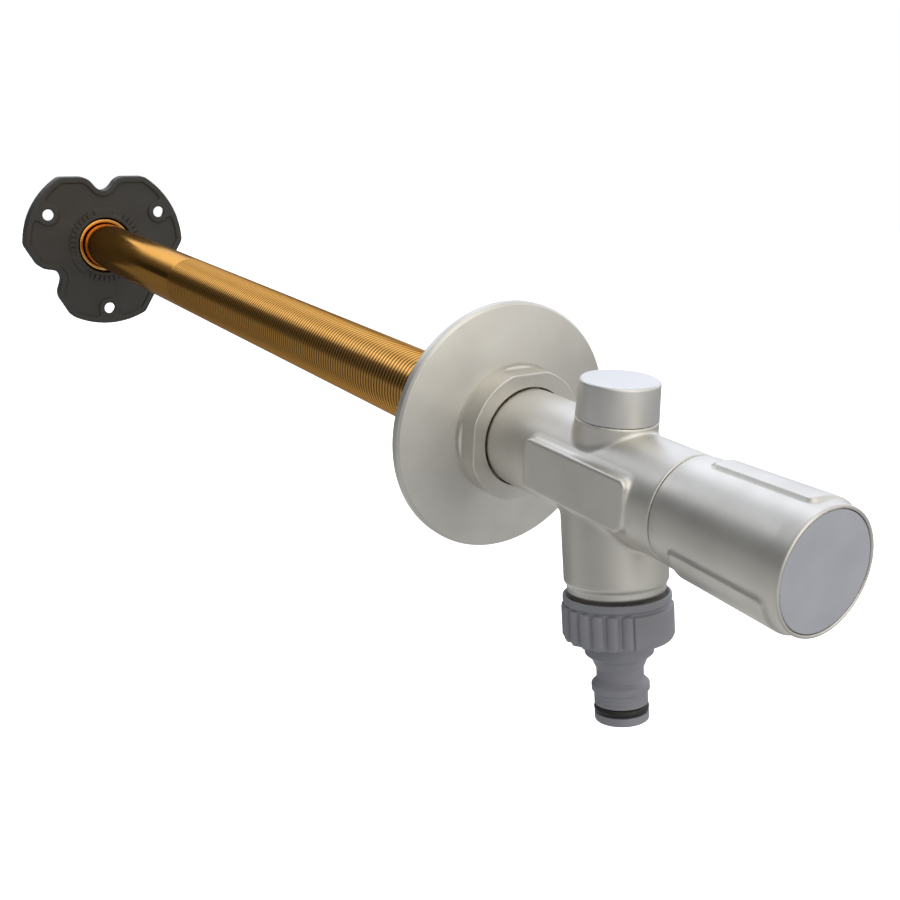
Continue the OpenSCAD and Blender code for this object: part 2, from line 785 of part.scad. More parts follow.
module valve_body() {
    color("#c8c6be")
        difference() {
            union() {
                turned([[0, body_rear], [body_r - edge, body_rear], [body_r, body_rear - edge],
                    [body_r, seam_y], [nose_r, seam_y], [nose_r, nose_front], [0, nose_front]]);
                at_spout()
                    spun([[0, 0], [spout_r, 0], [spout_r, -spout_len], [spout_neck_r, -spout_foot],
                        [spout_neck_r, -neck_end], [hose_thread_r, -thread_top],
                        [hose_thread_r, edge - spout_end], [hose_thread_r - edge, -spout_end],
                        [0, -spout_end]]);
                at_vent()
                    spun([[0, 0], [vent_r, 0], [vent_r, vent_seam], [vent_spigot_r, vent_seam],
                        [vent_spigot_r, vent_spigot_top], [0, vent_spigot_top]]);
                name_pad();
            }
            turned([[0, body_rear + over], [tube_r + fit_gap, body_rear + over],
                [tube_r + fit_gap, waterway_rear], [waterway_r, waterway_rear],
                [waterway_r, bush_rear], [bush_r + fit_gap, bush_rear],
                [bush_r + fit_gap, nose_front - over], [0, nose_front - over]]);
            at_spout()
                spun([[0, 0], [spout_bore_r, 0], [spout_bore_r, -check_top],
                    [check_pocket_r, -check_top], [check_pocket_r, -spout_end - over],
                    [0, -spout_end - over]]);
            at_vent()
                spun([[0, 0], [vent_throat_r, 0], [vent_throat_r, vent_floor],
                    [vent_chamber_r, vent_floor], [vent_chamber_r, vent_spigot_top + over],
                    [0, vent_spigot_top + over]]);
        }
}

module headwork_bush() {
    groove_from = bush_groove_y + bush_groove_w / 2;
    groove_to = bush_groove_y - bush_groove_w / 2;
    color("#b5834a")
        difference() {
            union() {
                turned([[0, bush_rear], [bush_r, bush_rear], [bush_r, groove_from],
                    [bush_groove_r, groove_from], [bush_groove_r, groove_to],
                    [bush_r, groove_to], [bush_r, bush_front - over], [0, bush_front - over]]);
                bar(bush_af / sqrt(3), bush_front, hex_front, 6);
            }
            bar(spindle_r + fit_gap, bush_rear + over, hex_front - over);
        }
}

module bush_o_ring() {
    color("#202020")
        cord_ring(bush_r - bush_cord_r, bush_cord_r, bush_groove_y);
}

module thrust_washer() {
    color("#e8e6df")
        turned([[spindle_r + place_gap, bush_rear], [thrust_r, bush_rear],
            [thrust_r, thrust_front], [spindle_r + place_gap, thrust_front]]);
}

module vent_guide() {
    port_r = 1.3;
    port_at = 4;
    color("#e8e6df")
        at_vent()
            difference() {
                spun([[0, vent_floor], [guide_r, vent_floor], [guide_r, vent_seal_low],
                    [vent_bore_r, vent_seal_low], [vent_bore_r, float_low], [0, float_low]]);
                translate([0, 0, vent_floor - over]) {
                    cylinder(r = vent_stem_r + fit_gap, h = vent_guide_t + 2 * over, $fn = round_fn);
                    for (a = [0 : 60 : 300]) {
                        rotate([0, 0, a])
                            translate([port_at, 0, 0])
                                cylinder(r = port_r, h = vent_guide_t + 2 * over, $fn = round_fn);
                    }
                }
            }
}

module vent_seal() {
    color("#202020")
        at_vent()
            spun([[vent_hole_r, vent_seal_low], [guide_r, vent_seal_low],
                [guide_r, retainer_low], [vent_hole_r, retainer_low]]);
}

module vent_retainer() {
    retainer_top = retainer_low + vent_retainer_t;
    color("#b5834a")
        at_vent()
            spun([[vent_hole_r, retainer_low], [guide_r, retainer_low],
                [guide_r, retainer_top], [vent_hole_r + edge, retainer_top],
                [vent_hole_r, retainer_top - edge]]);
}

module vent_cap() {
    inner_top = vent_top - vent_cap_wall;
    color("#d4d4d6")
        at_vent()
            spun(concat([[cap_in_r, vent_seam], [cap_r, vent_seam]],
                arc(vent_cap_top_r - vent_cap_round, vent_top - vent_cap_round, vent_cap_round, 0, 90, 6),
                [[0, vent_top], [0, inner_top], [cap_in_r, inner_top]]));
}

module vent_float() {
    color("#e8e6df")
        at_vent()
            spun([[0, float_low - vent_stem_len], [vent_stem_r, float_low - vent_stem_len],
                [vent_stem_r, float_low], [vent_float_r, float_low],
                [vent_float_r, float_high], [0, float_high]]);
}

module check_cage() {
    groove_from = cage_groove_z - cage_groove_w / 2;
    groove_to = cage_groove_z + cage_groove_w / 2;
    port_r = 1.4;
    port_at = 4.7;
    color("#e8e6df")
        at_spout()
            difference() {
                spun([[check_seat_r, -check_top], [cage_r, -check_top], [cage_r, -groove_from],
                    [cage_groove_r, -groove_from], [cage_groove_r, -groove_to], [cage_r, -groove_to],
                    [cage_r, -spout_end], [0, -spout_end], [0, -cage_floor], [cage_in_r, -cage_floor],
                    [cage_in_r, -seal_top], [check_seat_r, -seal_top]]);
                translate([0, 0, -spout_end - over]) {
                    cylinder(r = poppet_stem_r + fit_gap, h = cage_floor_t + 2 * over, $fn = round_fn);
                    for (a = [0 : 60 : 300]) {
                        rotate([0, 0, a])
                            translate([port_at, 0, 0])
                                cylinder(r = port_r, h = cage_floor_t + 2 * over, $fn = round_fn);
                    }
                }
            }
}

module cage_o_ring() {
    color("#202020")
        at_spout()
            translate([0, 0, -cage_groove_z])
                rotate_extrude($fn = round_fn)
                    translate([cage_r - cage_cord_r, 0])
                        circle(r = cage_cord_r, $fn = round_fn);
}

module check_poppet() {
    nib_r = 1.5;
    nib_h = 1;
    color("#e8e6df")
        at_spout()
            spun([[0, nib_h - poppet_top], [nib_r, nib_h - poppet_top],
                [nib_r, -poppet_top], [poppet_r, -poppet_top], [poppet_r, -poppet_low],
                [poppet_stem_r, -poppet_low], [poppet_stem_r, -stem_low], [0, -stem_low]]);
}

module poppet_seal() {
    seal_in_r = 1.6;
    spout_ring(poppet_r, seal_in_r, seal_top, poppet_top);
}

// Spring wire, swept along its winding with a ring of points at each step
module check_spring() {
    ends = spring_wire_r + fit_gap;
    top = -poppet_low - ends;
    low = -cage_floor + ends;
    steps_per_turn = 12;
    sides = 6;
    steps = round(spring_turns * steps_per_turn);
    rings = [for (i = [0 : steps])
        let (a = 360 * i / steps_per_turn, z = low + (top - low) * i / steps)
        [for (j = [0 : sides - 1])
            let (b = 360 * j / sides, r = spring_r + spring_wire_r * cos(b))
            [r * cos(a), r * sin(a), z + spring_wire_r * sin(b)]]];
    skin = [for (i = [0 : steps - 1]) for (j = [0 : sides - 1])
        let (k = (j + 1) % sides, p = i * sides, q = p + sides)
        each [[p + j, p + k, q + k], [p + j, q + k, q + j]]];
    end_caps = [for (j = [1 : sides - 2])
        each [[0, j + 1, j], [steps * sides, steps * sides + j, steps * sides + j + 1]]];
    color("#b8b8ba")
        at_spout()
            polyhedron(points = [for (ring = rings) each ring], faces = concat(skin, end_caps));
}

module drive_rod() {
    color("#b8b8ba")
        difference() {
            turned([[0, rod_end], [rod_r - edge, rod_end], [rod_r, rod_end - edge],
                [rod_r, rod_front + edge], [rod_r - edge, rod_front], [0, rod_front]]);
            pin_hole();
        }
}

// The hole for the drive pin, across the rod and the spindle's sleeve
module pin_hole() {
    translate([-sleeve_r - over, pin_y, 0])
        rotate([0, 90, 0])
            cylinder(r = drive_pin_r + fit_gap, h = 2 * (sleeve_r + over), $fn = round_fn);
}

module drive_pin() {
    color("#a0a0a4")
        translate([-pin_half, pin_y, 0])
            rotate([0, 90, 0])
                cylinder(r = drive_pin_r, h = 2 * pin_half, $fn = round_fn);
}

module spindle() {
    half_w = ring_groove_w / 2;
    color("#b5834a")
        difference() {
            union() {
                turned(concat(
                    [[0, sleeve_end], [sleeve_r, sleeve_end], [sleeve_r, thrust_rear],
                        [thrust_r, thrust_rear], [thrust_r, thrust_front], [spindle_r, thrust_front]],
                    [for (y = ring_places) each [[spindle_r, y + half_w], [ring_groove_r, y + half_w],
                        [ring_groove_r, y - half_w], [spindle_r, y - half_w]]],
                    [[spindle_r, clip_y], [clip_groove_r, clip_y], [clip_groove_r, clip_y - clip_t],
                        [spindle_r, clip_y - clip_t], [spindle_r, square_rear], [0, square_rear]]));
                square_bar(drive_square, square_rear + over, square_front);
            }
            bar(rod_r + fit_gap, rod_socket_end, sleeve_end + over);
            bar(handle_screw_r + fit_gap, square_front - over, square_front + handle_screw_len);
            pin_hole();
        }
}

module spindle_o_rings() {
    color("#202020")
        for (y = ring_places) {
            cord_ring(spindle_r - place_gap / 2 - ring_cord_r, ring_cord_r, y);
        }
}

module spindle_clip() {
    side = 0.15;
    color("#a0a0a4")
        difference() {
            bar(clip_r, clip_y - side, clip_y - clip_t + side);
            bar(clip_groove_r + fit_gap, clip_y, clip_y - clip_t);
            translate([-clip_groove_r, clip_y - clip_t, -clip_r - over])
                cube([2 * clip_groove_r, clip_t, clip_r + over]);
        }
}

// The two raised grip pads, as one ring cut to their width with sloping flanks
module grip_pads() {
    from = seam_y - grip_start;
    to = from - grip_len;
    half = grip_width / 2;
    rise = grip_front_r - handle_front_r;
    foot_r = handle_front_r - 2 * rise;
    top_r = grip_front_r + rise;
    foot_half = half + 3 * grip_slope;
    top_half = half - grip_slope;
    flank = [[foot_r, foot_half], [top_r, top_half], [2 * top_r, top_half]];
    intersection() {
        turned([[foot_r, from + (grip_rear_r - foot_r) / 2], [grip_rear_r, from],
            [grip_front_r, to], [foot_r, to - grip_front_r + foot_r]]);
        for (a = [grip_angle, grip_angle + 180]) {
            slab(from + top_r, to - top_r)
                polygon(turn(concat([[0, 0]],
                    [for (i = [0 : 2]) flank[i][0] * [cos(flank[i][1]), -sin(flank[i][1])]],
                    [for (i = [2 : -1 : 0]) flank[i][0] * [cos(flank[i][1]), sin(flank[i][1])]]), a));
        }
    }
}

module handle_shell() {
    rim = 0.3;
    color("#c8c6be")
        difference() {
            union() {
                turned([[0, handle_rear], [body_r - rim, handle_rear], [body_r, handle_rear - rim],
                    [handle_rear_r, handle_rear - over - 2 * rim], [handle_front_r, crease_y],
                    [handle_front_r + place_gap, handle_front + handle_bevel],
                    [handle_front_r + place_gap - handle_bevel / 2, handle_front], [0, handle_front]]);
                grip_pads();
            }
            turned([[0, handle_rear + over], [handle_bore_r, handle_rear + over],
                [handle_bore_r, disc_back], [disc_r + place_gap, disc_back],
                [disc_r + place_gap, handle_front - over], [0, handle_front - over]]);
        }
}

module handle_insert() {
    pocket_r = 2.2;
    pocket_at = 9.8;
    pocket_depth = 18;
    color("#4a4a4c")
        difference() {
            bar(handle_bore_r - place_gap, insert_front, insert_rear);
            square_bar(drive_square + square_gap, insert_web_rear, insert_rear + over);
            bar(handle_screw_r + square_gap, insert_web_front - over, insert_web_rear + over);
            bar(screw_head_r + over, insert_front - over, insert_web_front);
            for (a = [0 : 60 : 300]) {
                rotate([0, a, 0])
                    translate([pocket_at, 0, 0])
                        bar(pocket_r, insert_front - over, insert_front + pocket_depth);
            }
        }
}

module handle_screw() {
    socket_r = 2;
    color("#a0a0a4")
        difference() {
            union() {
                bar(screw_head_r, insert_web_front - screw_head_t, insert_web_front);
                bar(handle_screw_r, insert_web_front - over, square_front + handle_screw_len - over);
            }
            bar(socket_r, insert_web_front - screw_head_t - over, insert_web_front - over, 6);
        }
}

module end_disc() {
    clip_out = handle_bore_r - square_gap;
    clip_in = clip_out - over;
    break_edge = 0.3;
    color("#a0a2a8")
        turned([[0, disc_front], [disc_r - break_edge, disc_front], [disc_r, disc_front + break_edge],
            [disc_r, disc_back], [clip_out, disc_back], [clip_out, disc_back + disc_clip_len],
            [clip_in, disc_back + disc_clip_len], [clip_in, disc_back], [0, disc_back]]);
}

module valve_carrier() {
    color("#b5834a")
        difference() {
            union() {
                bar(carrier_r, head_rear, head_front);
                square_bar(carrier_square, stem_end, head_rear + over);
            }
            bar(seat_washer_r + place_gap, washer_floor, head_front + over);
            bar(rod_r + fit_gap, stem_end - over, carrier_bore_end);
            bar(washer_screw_r + fit_gap, washer_floor - washer_screw_len, washer_floor + over);
        }
}

module seat_washer() {
    color("#202020")
        turned([[washer_hole_r, washer_floor], [seat_washer_r, washer_floor],
            [seat_washer_r, seat_y], [washer_hole_r, seat_y]]);
}

module washer_screw() {
    slot_w = 0.8;
    color("#a0a0a4")
        difference() {
            union() {
                bar(washer_screw_head_r, seat_y, seat_y + washer_screw_head_t);
                bar(washer_screw_r, washer_floor - washer_screw_len + place_gap, seat_y + place_gap);
            }
            translate([-washer_screw_head_r - over, seat_y + washer_screw_head_t / 2, -slot_w / 2])
                cube([2 * (washer_screw_head_r + over), washer_screw_head_t, slot_w]);
        }
}

module escutcheon() {
    land_r = collar_r + 0.7;
    hole_r = collar_sleeve_r + sleeve_gap;
    color("#c8c6be")
        turned([[hole_r, 0], [gasket_in_r - sleeve_gap, 0], [gasket_in_r - sleeve_gap, -gasket_t],
            [gasket_r + sleeve_gap, -gasket_t], [gasket_r + sleeve_gap, 0], [rosette_r, 0],
            [rosette_r, rosette_bevel - rosette_t], [rosette_r - rosette_bevel, -rosette_t],
            [land_r, nut_base], [hole_r, nut_base]]);
}

module wall_gasket() {
    color("#202020")
        turned([[gasket_in_r, 0], [gasket_r, 0], [gasket_r, -gasket_t], [gasket_in_r, -gasket_t]]);
}

module collar_nut() {
    rear = -edge;
    thread_stop = nut_base - collar_thread_len;
    flat_front = nut_front + over;
    chamfer = 0.4;
    color("#c8c6be")
        difference() {
            union() {
                turned([[0, rear], [collar_sleeve_r, rear], [collar_sleeve_r, nut_base],
                    [collar_r, nut_base], [collar_r, nut_base - collar_flange],
                    [0, nut_base - collar_flange]]);
                intersection() {
                    turned([[0, nut_base - edge], [collar_r, nut_base - edge],
                        [collar_r, nut_front + chamfer], [collar_r - chamfer, nut_front], [0, nut_front]]);
                    square_bar(collar_af, nut_base, flat_front - 2 * over);
                }
            }
            turned([[0, over], [tube_r + fit_gap, over], [tube_r + fit_gap, thread_stop],
                [collar_mouth_r, thread_stop], [collar_mouth_r, nut_front - over],
                [0, nut_front - over]]);
        }
}

module hose_nut() {
    collar_fit = nipple_collar_r + fit_gap;
    mouth_r = spout_neck_r + place_gap;
    hollow_out = 0.85;
    hollow_at = union_r + hollow_out;
    color("#77797e")
        at_spout()
            difference() {
                spun([[mouth_r, -union_top], [union_lip_r - edge, -union_top],
                    [union_lip_r, -union_top - edge], [union_lip_r, -grip_top],
                    [union_r, -grip_top - edge], [union_r, union_bevel - union_low],
                    [union_r - union_bevel, -union_low], [collar_fit, -union_low],
                    [collar_fit, -flange_low], [union_bore_r, -flange_low],
                    [union_bore_r, union_bore_r - mouth_r - union_top]]);
                for (group = [0, 180]) {
                    for (i = [0 : union_ribs - 2]) {
                        rotate([0, 0, union_rib_angle + group + (i - (union_ribs - 2) / 2) * union_rib_step])
                            translate([hollow_at, 0, -union_low - over])
                                cylinder(r = union_hollow_r, h = union_low - grip_top - 2 * edge + over,
                                    $fn = round_fn);
                    }
                }
            }
}

module hose_washer() {
    color("#202020")
        spout_ring(union_bore_r - sleeve_gap, nipple_bore_r + over, spout_end, washer_low);
}

module hose_nipple() {
    slope = 1.6;
    collar_cut = 1.9;
    shoulder_len = 4.2;
    color("#85878c")
        at_spout()
            spun([[nipple_bore_r, -washer_low], [union_bore_r - sleeve_gap, -washer_low],
                [union_bore_r - sleeve_gap, -flange_low], [nipple_collar_r, -flange_low],
                [nipple_collar_r, -collar_low], [nipple_collar_r - collar_cut, -collar_low - slope],
                [nipple_neck_r, -collar_low - shoulder_len], [nipple_neck_r, slope - ridge_top],
                [nipple_ridge_r, -ridge_top], [nipple_ridge_r, -ridge_low], [nipple_r, -ridge_low],
                [nipple_r, -ring_groove_top], [nipple_ring_r - nipple_cord_r - fit_gap, -ring_groove_top],
                [nipple_ring_r - nipple_cord_r - fit_gap, -ring_groove_low],
                [nipple_tip_r, -ring_groove_low], [nipple_tip_r, edge - nipple_end],
                [nipple_tip_r - edge, -nipple_end], [nipple_bore_r, -nipple_end]]);
}

module nipple_o_ring() {
    color("#202020")
        at_spout()
            translate([0, 0, -nipple_ring_z])
                rotate_extrude($fn = round_fn)
                    translate([nipple_ring_r, 0])
                        circle(r = nipple_cord_r, $fn = round_fn);
}

mounting_plate();
inlet_fitting();
wall_tube();
carrier_guide();
rod_guides();
tube_seal();
valve_body();
headwork_bush();
bush_o_ring();
thrust_washer();
vent_guide();
vent_seal();
vent_retainer();
vent_cap();
vent_float();
check_cage();
cage_o_ring();
check_poppet();
poppet_seal();
check_spring();
drive_rod();
drive_pin();
spindle();
spindle_o_rings();
spindle_clip();
handle_shell();
handle_insert();
handle_screw();
end_disc();
valve_carrier();
seat_washer();
washer_screw();
escutcheon();
wall_gasket();
collar_nut();
hose_nut();
hose_washer();
hose_nipple();
nipple_o_ring();
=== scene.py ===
"""Frost free sillcock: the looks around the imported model.

Lengths are in millimetres and angles in degrees unless a name says otherwise, and a mesh is scaled to metres
when it is made. The wall tube lies along Y, the handle is at -Y and the spout leans towards it. Angles round
the tube axis count from +X towards +Z.
"""

import json
import math

import bmesh
import bpy
import numpy as np
from mathutils import Matrix, Vector


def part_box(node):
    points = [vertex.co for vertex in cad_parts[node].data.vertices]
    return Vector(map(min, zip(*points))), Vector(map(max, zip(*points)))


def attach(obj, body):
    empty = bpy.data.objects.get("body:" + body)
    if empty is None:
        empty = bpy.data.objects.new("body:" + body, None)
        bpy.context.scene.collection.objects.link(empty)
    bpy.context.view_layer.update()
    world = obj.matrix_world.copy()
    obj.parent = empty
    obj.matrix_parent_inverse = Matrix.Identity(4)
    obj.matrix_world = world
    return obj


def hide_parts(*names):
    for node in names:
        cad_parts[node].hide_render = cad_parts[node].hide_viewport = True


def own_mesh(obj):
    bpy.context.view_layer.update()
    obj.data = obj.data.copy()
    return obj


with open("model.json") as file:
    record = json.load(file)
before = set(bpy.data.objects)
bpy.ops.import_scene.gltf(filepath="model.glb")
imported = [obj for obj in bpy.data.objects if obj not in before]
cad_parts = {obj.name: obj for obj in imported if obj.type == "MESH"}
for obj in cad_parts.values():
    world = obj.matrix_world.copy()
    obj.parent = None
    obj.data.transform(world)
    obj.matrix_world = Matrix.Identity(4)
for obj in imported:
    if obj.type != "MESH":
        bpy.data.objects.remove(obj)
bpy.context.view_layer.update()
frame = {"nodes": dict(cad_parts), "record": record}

MM = 0.001

# Stations along the tube axis, taken from the frame
TUBE_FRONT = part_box("wall_tube")[0].y / MM
TUBE_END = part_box("wall_tube")[1].y / MM
PLATE_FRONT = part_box("mounting_plate")[0].y / MM
PLATE_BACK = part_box("mounting_plate")[1].y / MM
BODY_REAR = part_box("valve_body")[1].y / MM
NOSE_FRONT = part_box("valve_body")[0].y / MM
HANDLE_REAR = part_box("handle_shell")[1].y / MM
HANDLE_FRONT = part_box("handle_shell")[0].y / MM
NUT_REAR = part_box("collar_nut")[1].y / MM
NUT_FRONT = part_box("collar_nut")[0].y / MM
ROSETTE_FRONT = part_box("escutcheon")[0].y / MM
BUSH_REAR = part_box("headwork_bush")[1].y / MM
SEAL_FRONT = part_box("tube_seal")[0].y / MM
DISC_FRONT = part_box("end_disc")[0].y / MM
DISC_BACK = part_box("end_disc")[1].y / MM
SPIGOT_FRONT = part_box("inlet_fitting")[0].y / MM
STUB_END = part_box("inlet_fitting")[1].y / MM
FLANGE_THICK = 4.0
HEX_LONG = 12.0
FLANGE_END = PLATE_BACK + FLANGE_THICK
HEX_END = FLANGE_END + HEX_LONG
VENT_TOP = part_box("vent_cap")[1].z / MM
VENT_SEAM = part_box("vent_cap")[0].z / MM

# Wall tube
TUBE_R = 13.3
TUBE_BORE_R = 10.6
THREAD_PITCH = 2.0
THREAD_DEPTH = 0.13
THREAD_END = 276.0
TUBE_CHAMFER = 0.6

# The bronze's painted shade: in the thread's roots, fading out just below the crest, and in the ring gap round
# the tube
CREST_EDGE = 0.02
GAP_SHADE_R = 13.6
GAP_SHADE_HALF = 0.25

# Spout and vent
SPOUT_Y = -55.3
SPOUT_TILT = math.radians(10.7)
SPOUT_R = 15.35
SPOUT_STEP = 30.3
SPOUT_FOOT = 31.8
NECK_R = 14.5
NECK_END = 34.0
HOSE_THREAD_R = 13.1
THREAD_TOP = 34.6
SPOUT_END = 42.5
VENT_R = 12.0
VENT_GROOVE = 0.16

# Body and handle
BODY_R = 15.7
NOSE_R = 12.8
SEAM_Y = -87.3
PAD_OUT = 16.9

# Between two pieces that fit into each other
FIT_GAP = 0.05


def srgb(code):
    """A linear colour from an sRGB hex value."""
    channels = [int(code[i:i + 2], 16) / 255 for i in (1, 3, 5)]
    linear = [c / 12.92 if c <= 0.04045 else ((c + 0.055) / 1.055) ** 2.4 for c in channels]
    return (*linear, 1.0)


def add(tree, kind, inputs=None, **settings):
    """Adds a node with its settings, and sets or links its inputs. A node among them links its first output."""
    node = tree.nodes.new(kind)
    for key, value in settings.items():
        setattr(node, key, value)
    for key, value in (inputs or {}).items():
        if isinstance(value, bpy.types.Node):
            value = value.outputs[0]
        if isinstance(value, bpy.types.NodeSocket):
            tree.links.new(value, node.inputs[key])
        else:
            node.inputs[key].default_value = value
    return node


# Materials

def start_material(name, color, metallic, roughness, **sockets):
    """A material with one Principled shader, and the object coordinates that its patterns read."""
    material = bpy.data.materials.new(name)
    material.use_nodes = True
    tree = material.node_tree
    shader = tree.nodes["Principled BSDF"]
    shader.inputs["Base Color"].default_value = srgb(color)
    shader.inputs["Metallic"].default_value = metallic
    shader.inputs["Roughness"].default_value = roughness
    for key, value in sockets.items():
        shader.inputs[key.replace("_", " ")].default_value = value
    place = add(tree, "ShaderNodeTexCoord").outputs["Object"]
    return material, tree, shader, place


def drift(tree, place, lump_mm, detail, low, high):
    """A value that drifts over the surface from low to high, in lumps of about lump_mm."""
    lumps = add(tree, "ShaderNodeTexNoise", {
        "Vector": place, "Scale": 1 / (lump_mm * MM), "Detail": detail, "Roughness": 0.5})
    return add(tree, "ShaderNodeMapRange", {
        "Value": lumps, "From Min": 0.3, "From Max": 0.7, "To Min": low, "To Max": high}).outputs["Result"]


def mottle(tree, place, lump_mm, detail, dark, light):
    """A colour that drifts between two tones."""
    share = drift(tree, place, lump_mm, detail, 0.0, 1.0)
    # The Mix node's colours are its inputs 6 and 7 and its output 2
    return add(tree, "ShaderNodeMix", {0: share, 6: srgb(dark), 7: srgb(light)}, data_type="RGBA").outputs[2]


def grain(tree, shader, place, grain_mm, depth_mm, rough=0.5):
    """The finish's fine grain, a bump of a real size and depth."""
    lumps = add(tree, "ShaderNodeTexNoise", {
        "Vector": place, "Scale": 1 / (grain_mm * MM), "Detail": 2.0, "Roughness": rough})
    bump = add(tree, "ShaderNodeBump", {"Height": lumps, "Distance": depth_mm * MM, "Strength": 1.0})
    tree.links.new(bump.outputs["Normal"], shader.inputs["Normal"])


def satin_chrome():
    """Brass casting, blasted and satin chrome plated: a soft warm grey metal with a very fine even grain."""
    material, tree, shader, place = start_material("satin_chrome_plate", "#d6d3cc", 1.0, 0.42)
    tree.links.new(mottle(tree, place, 14.0, 3.0, "#d1cec7", "#d9d7d0"), shader.inputs["Base Color"])
    tree.links.new(drift(tree, place, 9.0, 4.0, 0.4, 0.46), shader.inputs["Roughness"])
    # The blasting's grain is about 0.1 mm, drawn at 0.35 mm so that it shows
    grain(tree, shader, place, 0.35, 0.006, 0.6)
    return material


def cap_chrome():
    """Turned cap, satin chrome plated: a little cooler and smoother than the casting."""
    material, tree, shader, place = start_material("satin_chrome_cap", "#d6d5d2", 1.0, 0.44)
    tree.links.new(drift(tree, place, 6.0, 3.0, 0.42, 0.47), shader.inputs["Roughness"])
    # The turning's marks are about 0.1 mm apart, drawn as a 0.3 mm grain so that they show
    grain(tree, shader, place, 0.3, 0.004)
    return material


def bronze():
    """Drawn gunmetal bronze: a bright gold brown metal, faintly streaked, with painted shade in its thread's
    roots.
    """
    material, tree, shader, place = start_material(
        "drawn_bronze", "#d8a05a", 1.0, 0.17, Specular_Tint=srgb("#e8cfae"))
    # Drawing leaves streaks half a millimetre wide along the tube, fifty times as long
    streaks = add(tree, "ShaderNodeMapping", {"Vector": place, "Scale": (1.0, 0.02, 1.0)}).outputs["Vector"]
    bright = mottle(tree, streaks, 0.5, 3.0, "#dba55c", "#e3b06a")
    # Painted shade darkens the thread's roots, found by their distance from the tube's axis
    flat = add(tree, "ShaderNodeVectorMath", {0: place, 1: (1.0, 0.0, 1.0)}, operation="MULTIPLY")
    from_axis = add(tree, "ShaderNodeVectorMath", {0: flat}, operation="LENGTH").outputs["Value"]
    crest = add(tree, "ShaderNodeMapRange", {
        "Value": from_axis, "From Min": (TUBE_R - THREAD_DEPTH) * MM, "From Max": (TUBE_R - CREST_EDGE) * MM,
        "To Min": 0.0, "To Max": 1.0})
    thread = add(tree, "ShaderNodeMix", {0: crest, 6: srgb("#5e3d1c"), 7: bright}, data_type="RGBA").outputs[2]
    # Painted shade darkens the ring gap between tube and fitting
    gap = add(tree, "ShaderNodeMath", {
        0: from_axis, 1: GAP_SHADE_R * MM, 2: GAP_SHADE_HALF * MM}, operation="COMPARE")
    colour = add(tree, "ShaderNodeMix", {0: gap, 6: thread, 7: srgb("#4a3824")}, data_type="RGBA").outputs[2]
    tree.links.new(colour, shader.inputs["Base Color"])
    tree.links.new(drift(tree, place, 5.0, 2.0, 0.16, 0.18), shader.inputs["Roughness"])
    return material


def turned_metal(name, color, roughness):
    """Turned brass or drawn steel: fine rings or streaks under a soft shine."""
    # The tool's rings are about 0.1 mm apart, drawn 0.4 mm wide and about 2.7 mm long so that they show
    material, tree, shader, place = start_material(name, color, 1.0, roughness)
    rings = add(tree, "ShaderNodeMapping", {"Vector": place, "Scale": (0.15, 1.0, 0.15)}).outputs["Vector"]
    grain(tree, shader, rings, 0.4, 0.004)
    return material


def moulded(name, dark, light, roughness, grain_mm, grain_depth):
    """Injection moulded plastic: an even colour with a slight cloud and the mould's fine texture."""
    # The mould's texture is about 0.2 mm, drawn at about 0.5 mm so that it shows
    material, tree, shader, place = start_material(name, dark, 0.0, roughness)
    tree.links.new(mottle(tree, place, 11.0, 3.0, dark, light), shader.inputs["Base Color"])
    tree.links.new(drift(tree, place, 5.0, 3.0, roughness - 0.04, roughness + 0.05), shader.inputs["Roughness"])
    grain(tree, shader, place, grain_mm, grain_depth)
    return material


def rubber():
    """Moulded EPDM rubber: black, soft sheen, a little dusty grey in the light."""
    material, tree, shader, place = start_material("moulded_rubber", "#1c1b1a", 0.0, 0.5)
    tree.links.new(drift(tree, place, 3.0, 3.0, 0.42, 0.6), shader.inputs["Roughness"])
    # The mould leaves a matt of about 0.1 mm, drawn at 0.4 mm so that it shows
    grain(tree, shader, place, 0.4, 0.006)
    return material


MATERIALS = {
    "satin_chrome": satin_chrome(),
    "cap_chrome": cap_chrome(),
    "tube_bronze": bronze(),
    "turned_brass": turned_metal("turned_brass", "#c9a25f", 0.28),
    "steel": turned_metal("drawn_steel", "#bdbdc0", 0.25),
    "black_plastic": moulded("moulded_nylon_black", "#302e2b", "#35332f", 0.5, 0.5, 0.012),
    "disc_grey": moulded("moulded_abs_grey", "#a8aab2", "#afb1b9", 0.42, 0.45, 0.008),
    "union_grey": moulded("moulded_polypropylene_grey", "#86878d", "#8d8e95", 0.42, 0.5, 0.008),
    "white_plastic": moulded("moulded_acetal", "#e4e2da", "#eceae3", 0.35, 0.5, 0.005),
    "insert_plastic": moulded("moulded_nylon_insert", "#48484a", "#505053", 0.45, 0.5, 0.008),
    "rubber": rubber(),
}

for part in frame["record"]["subparts"]:
    for material_slot in frame["nodes"][part["node"]].material_slots:
        material_slot.material = MATERIALS[part["material_slot"]]


# Meshes

def dress(piece, slot, body, *nodes):
    """Gives a piece its material, body and slot, and hides the CAD nodes that it stands for."""
    piece.data.materials.clear()
    piece.data.materials.append(MATERIALS[slot])
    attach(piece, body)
    if nodes:
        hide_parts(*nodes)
    return piece


def make_piece(name, points, faces, crease_deg=38.0):
    """A smooth shaded mesh object from points in millimetres, with hard edges where faces turn sharply."""
    mesh = bpy.data.meshes.new(name)
    mesh.from_pydata((np.asarray(points, float) * MM).tolist(), [], faces)
    mesh.shade_smooth()
    if crease_deg:
        mesh.set_sharp_from_angle(angle=math.radians(crease_deg))
    piece = bpy.data.objects.new(name, mesh)
    bpy.context.scene.collection.objects.link(piece)
    return piece


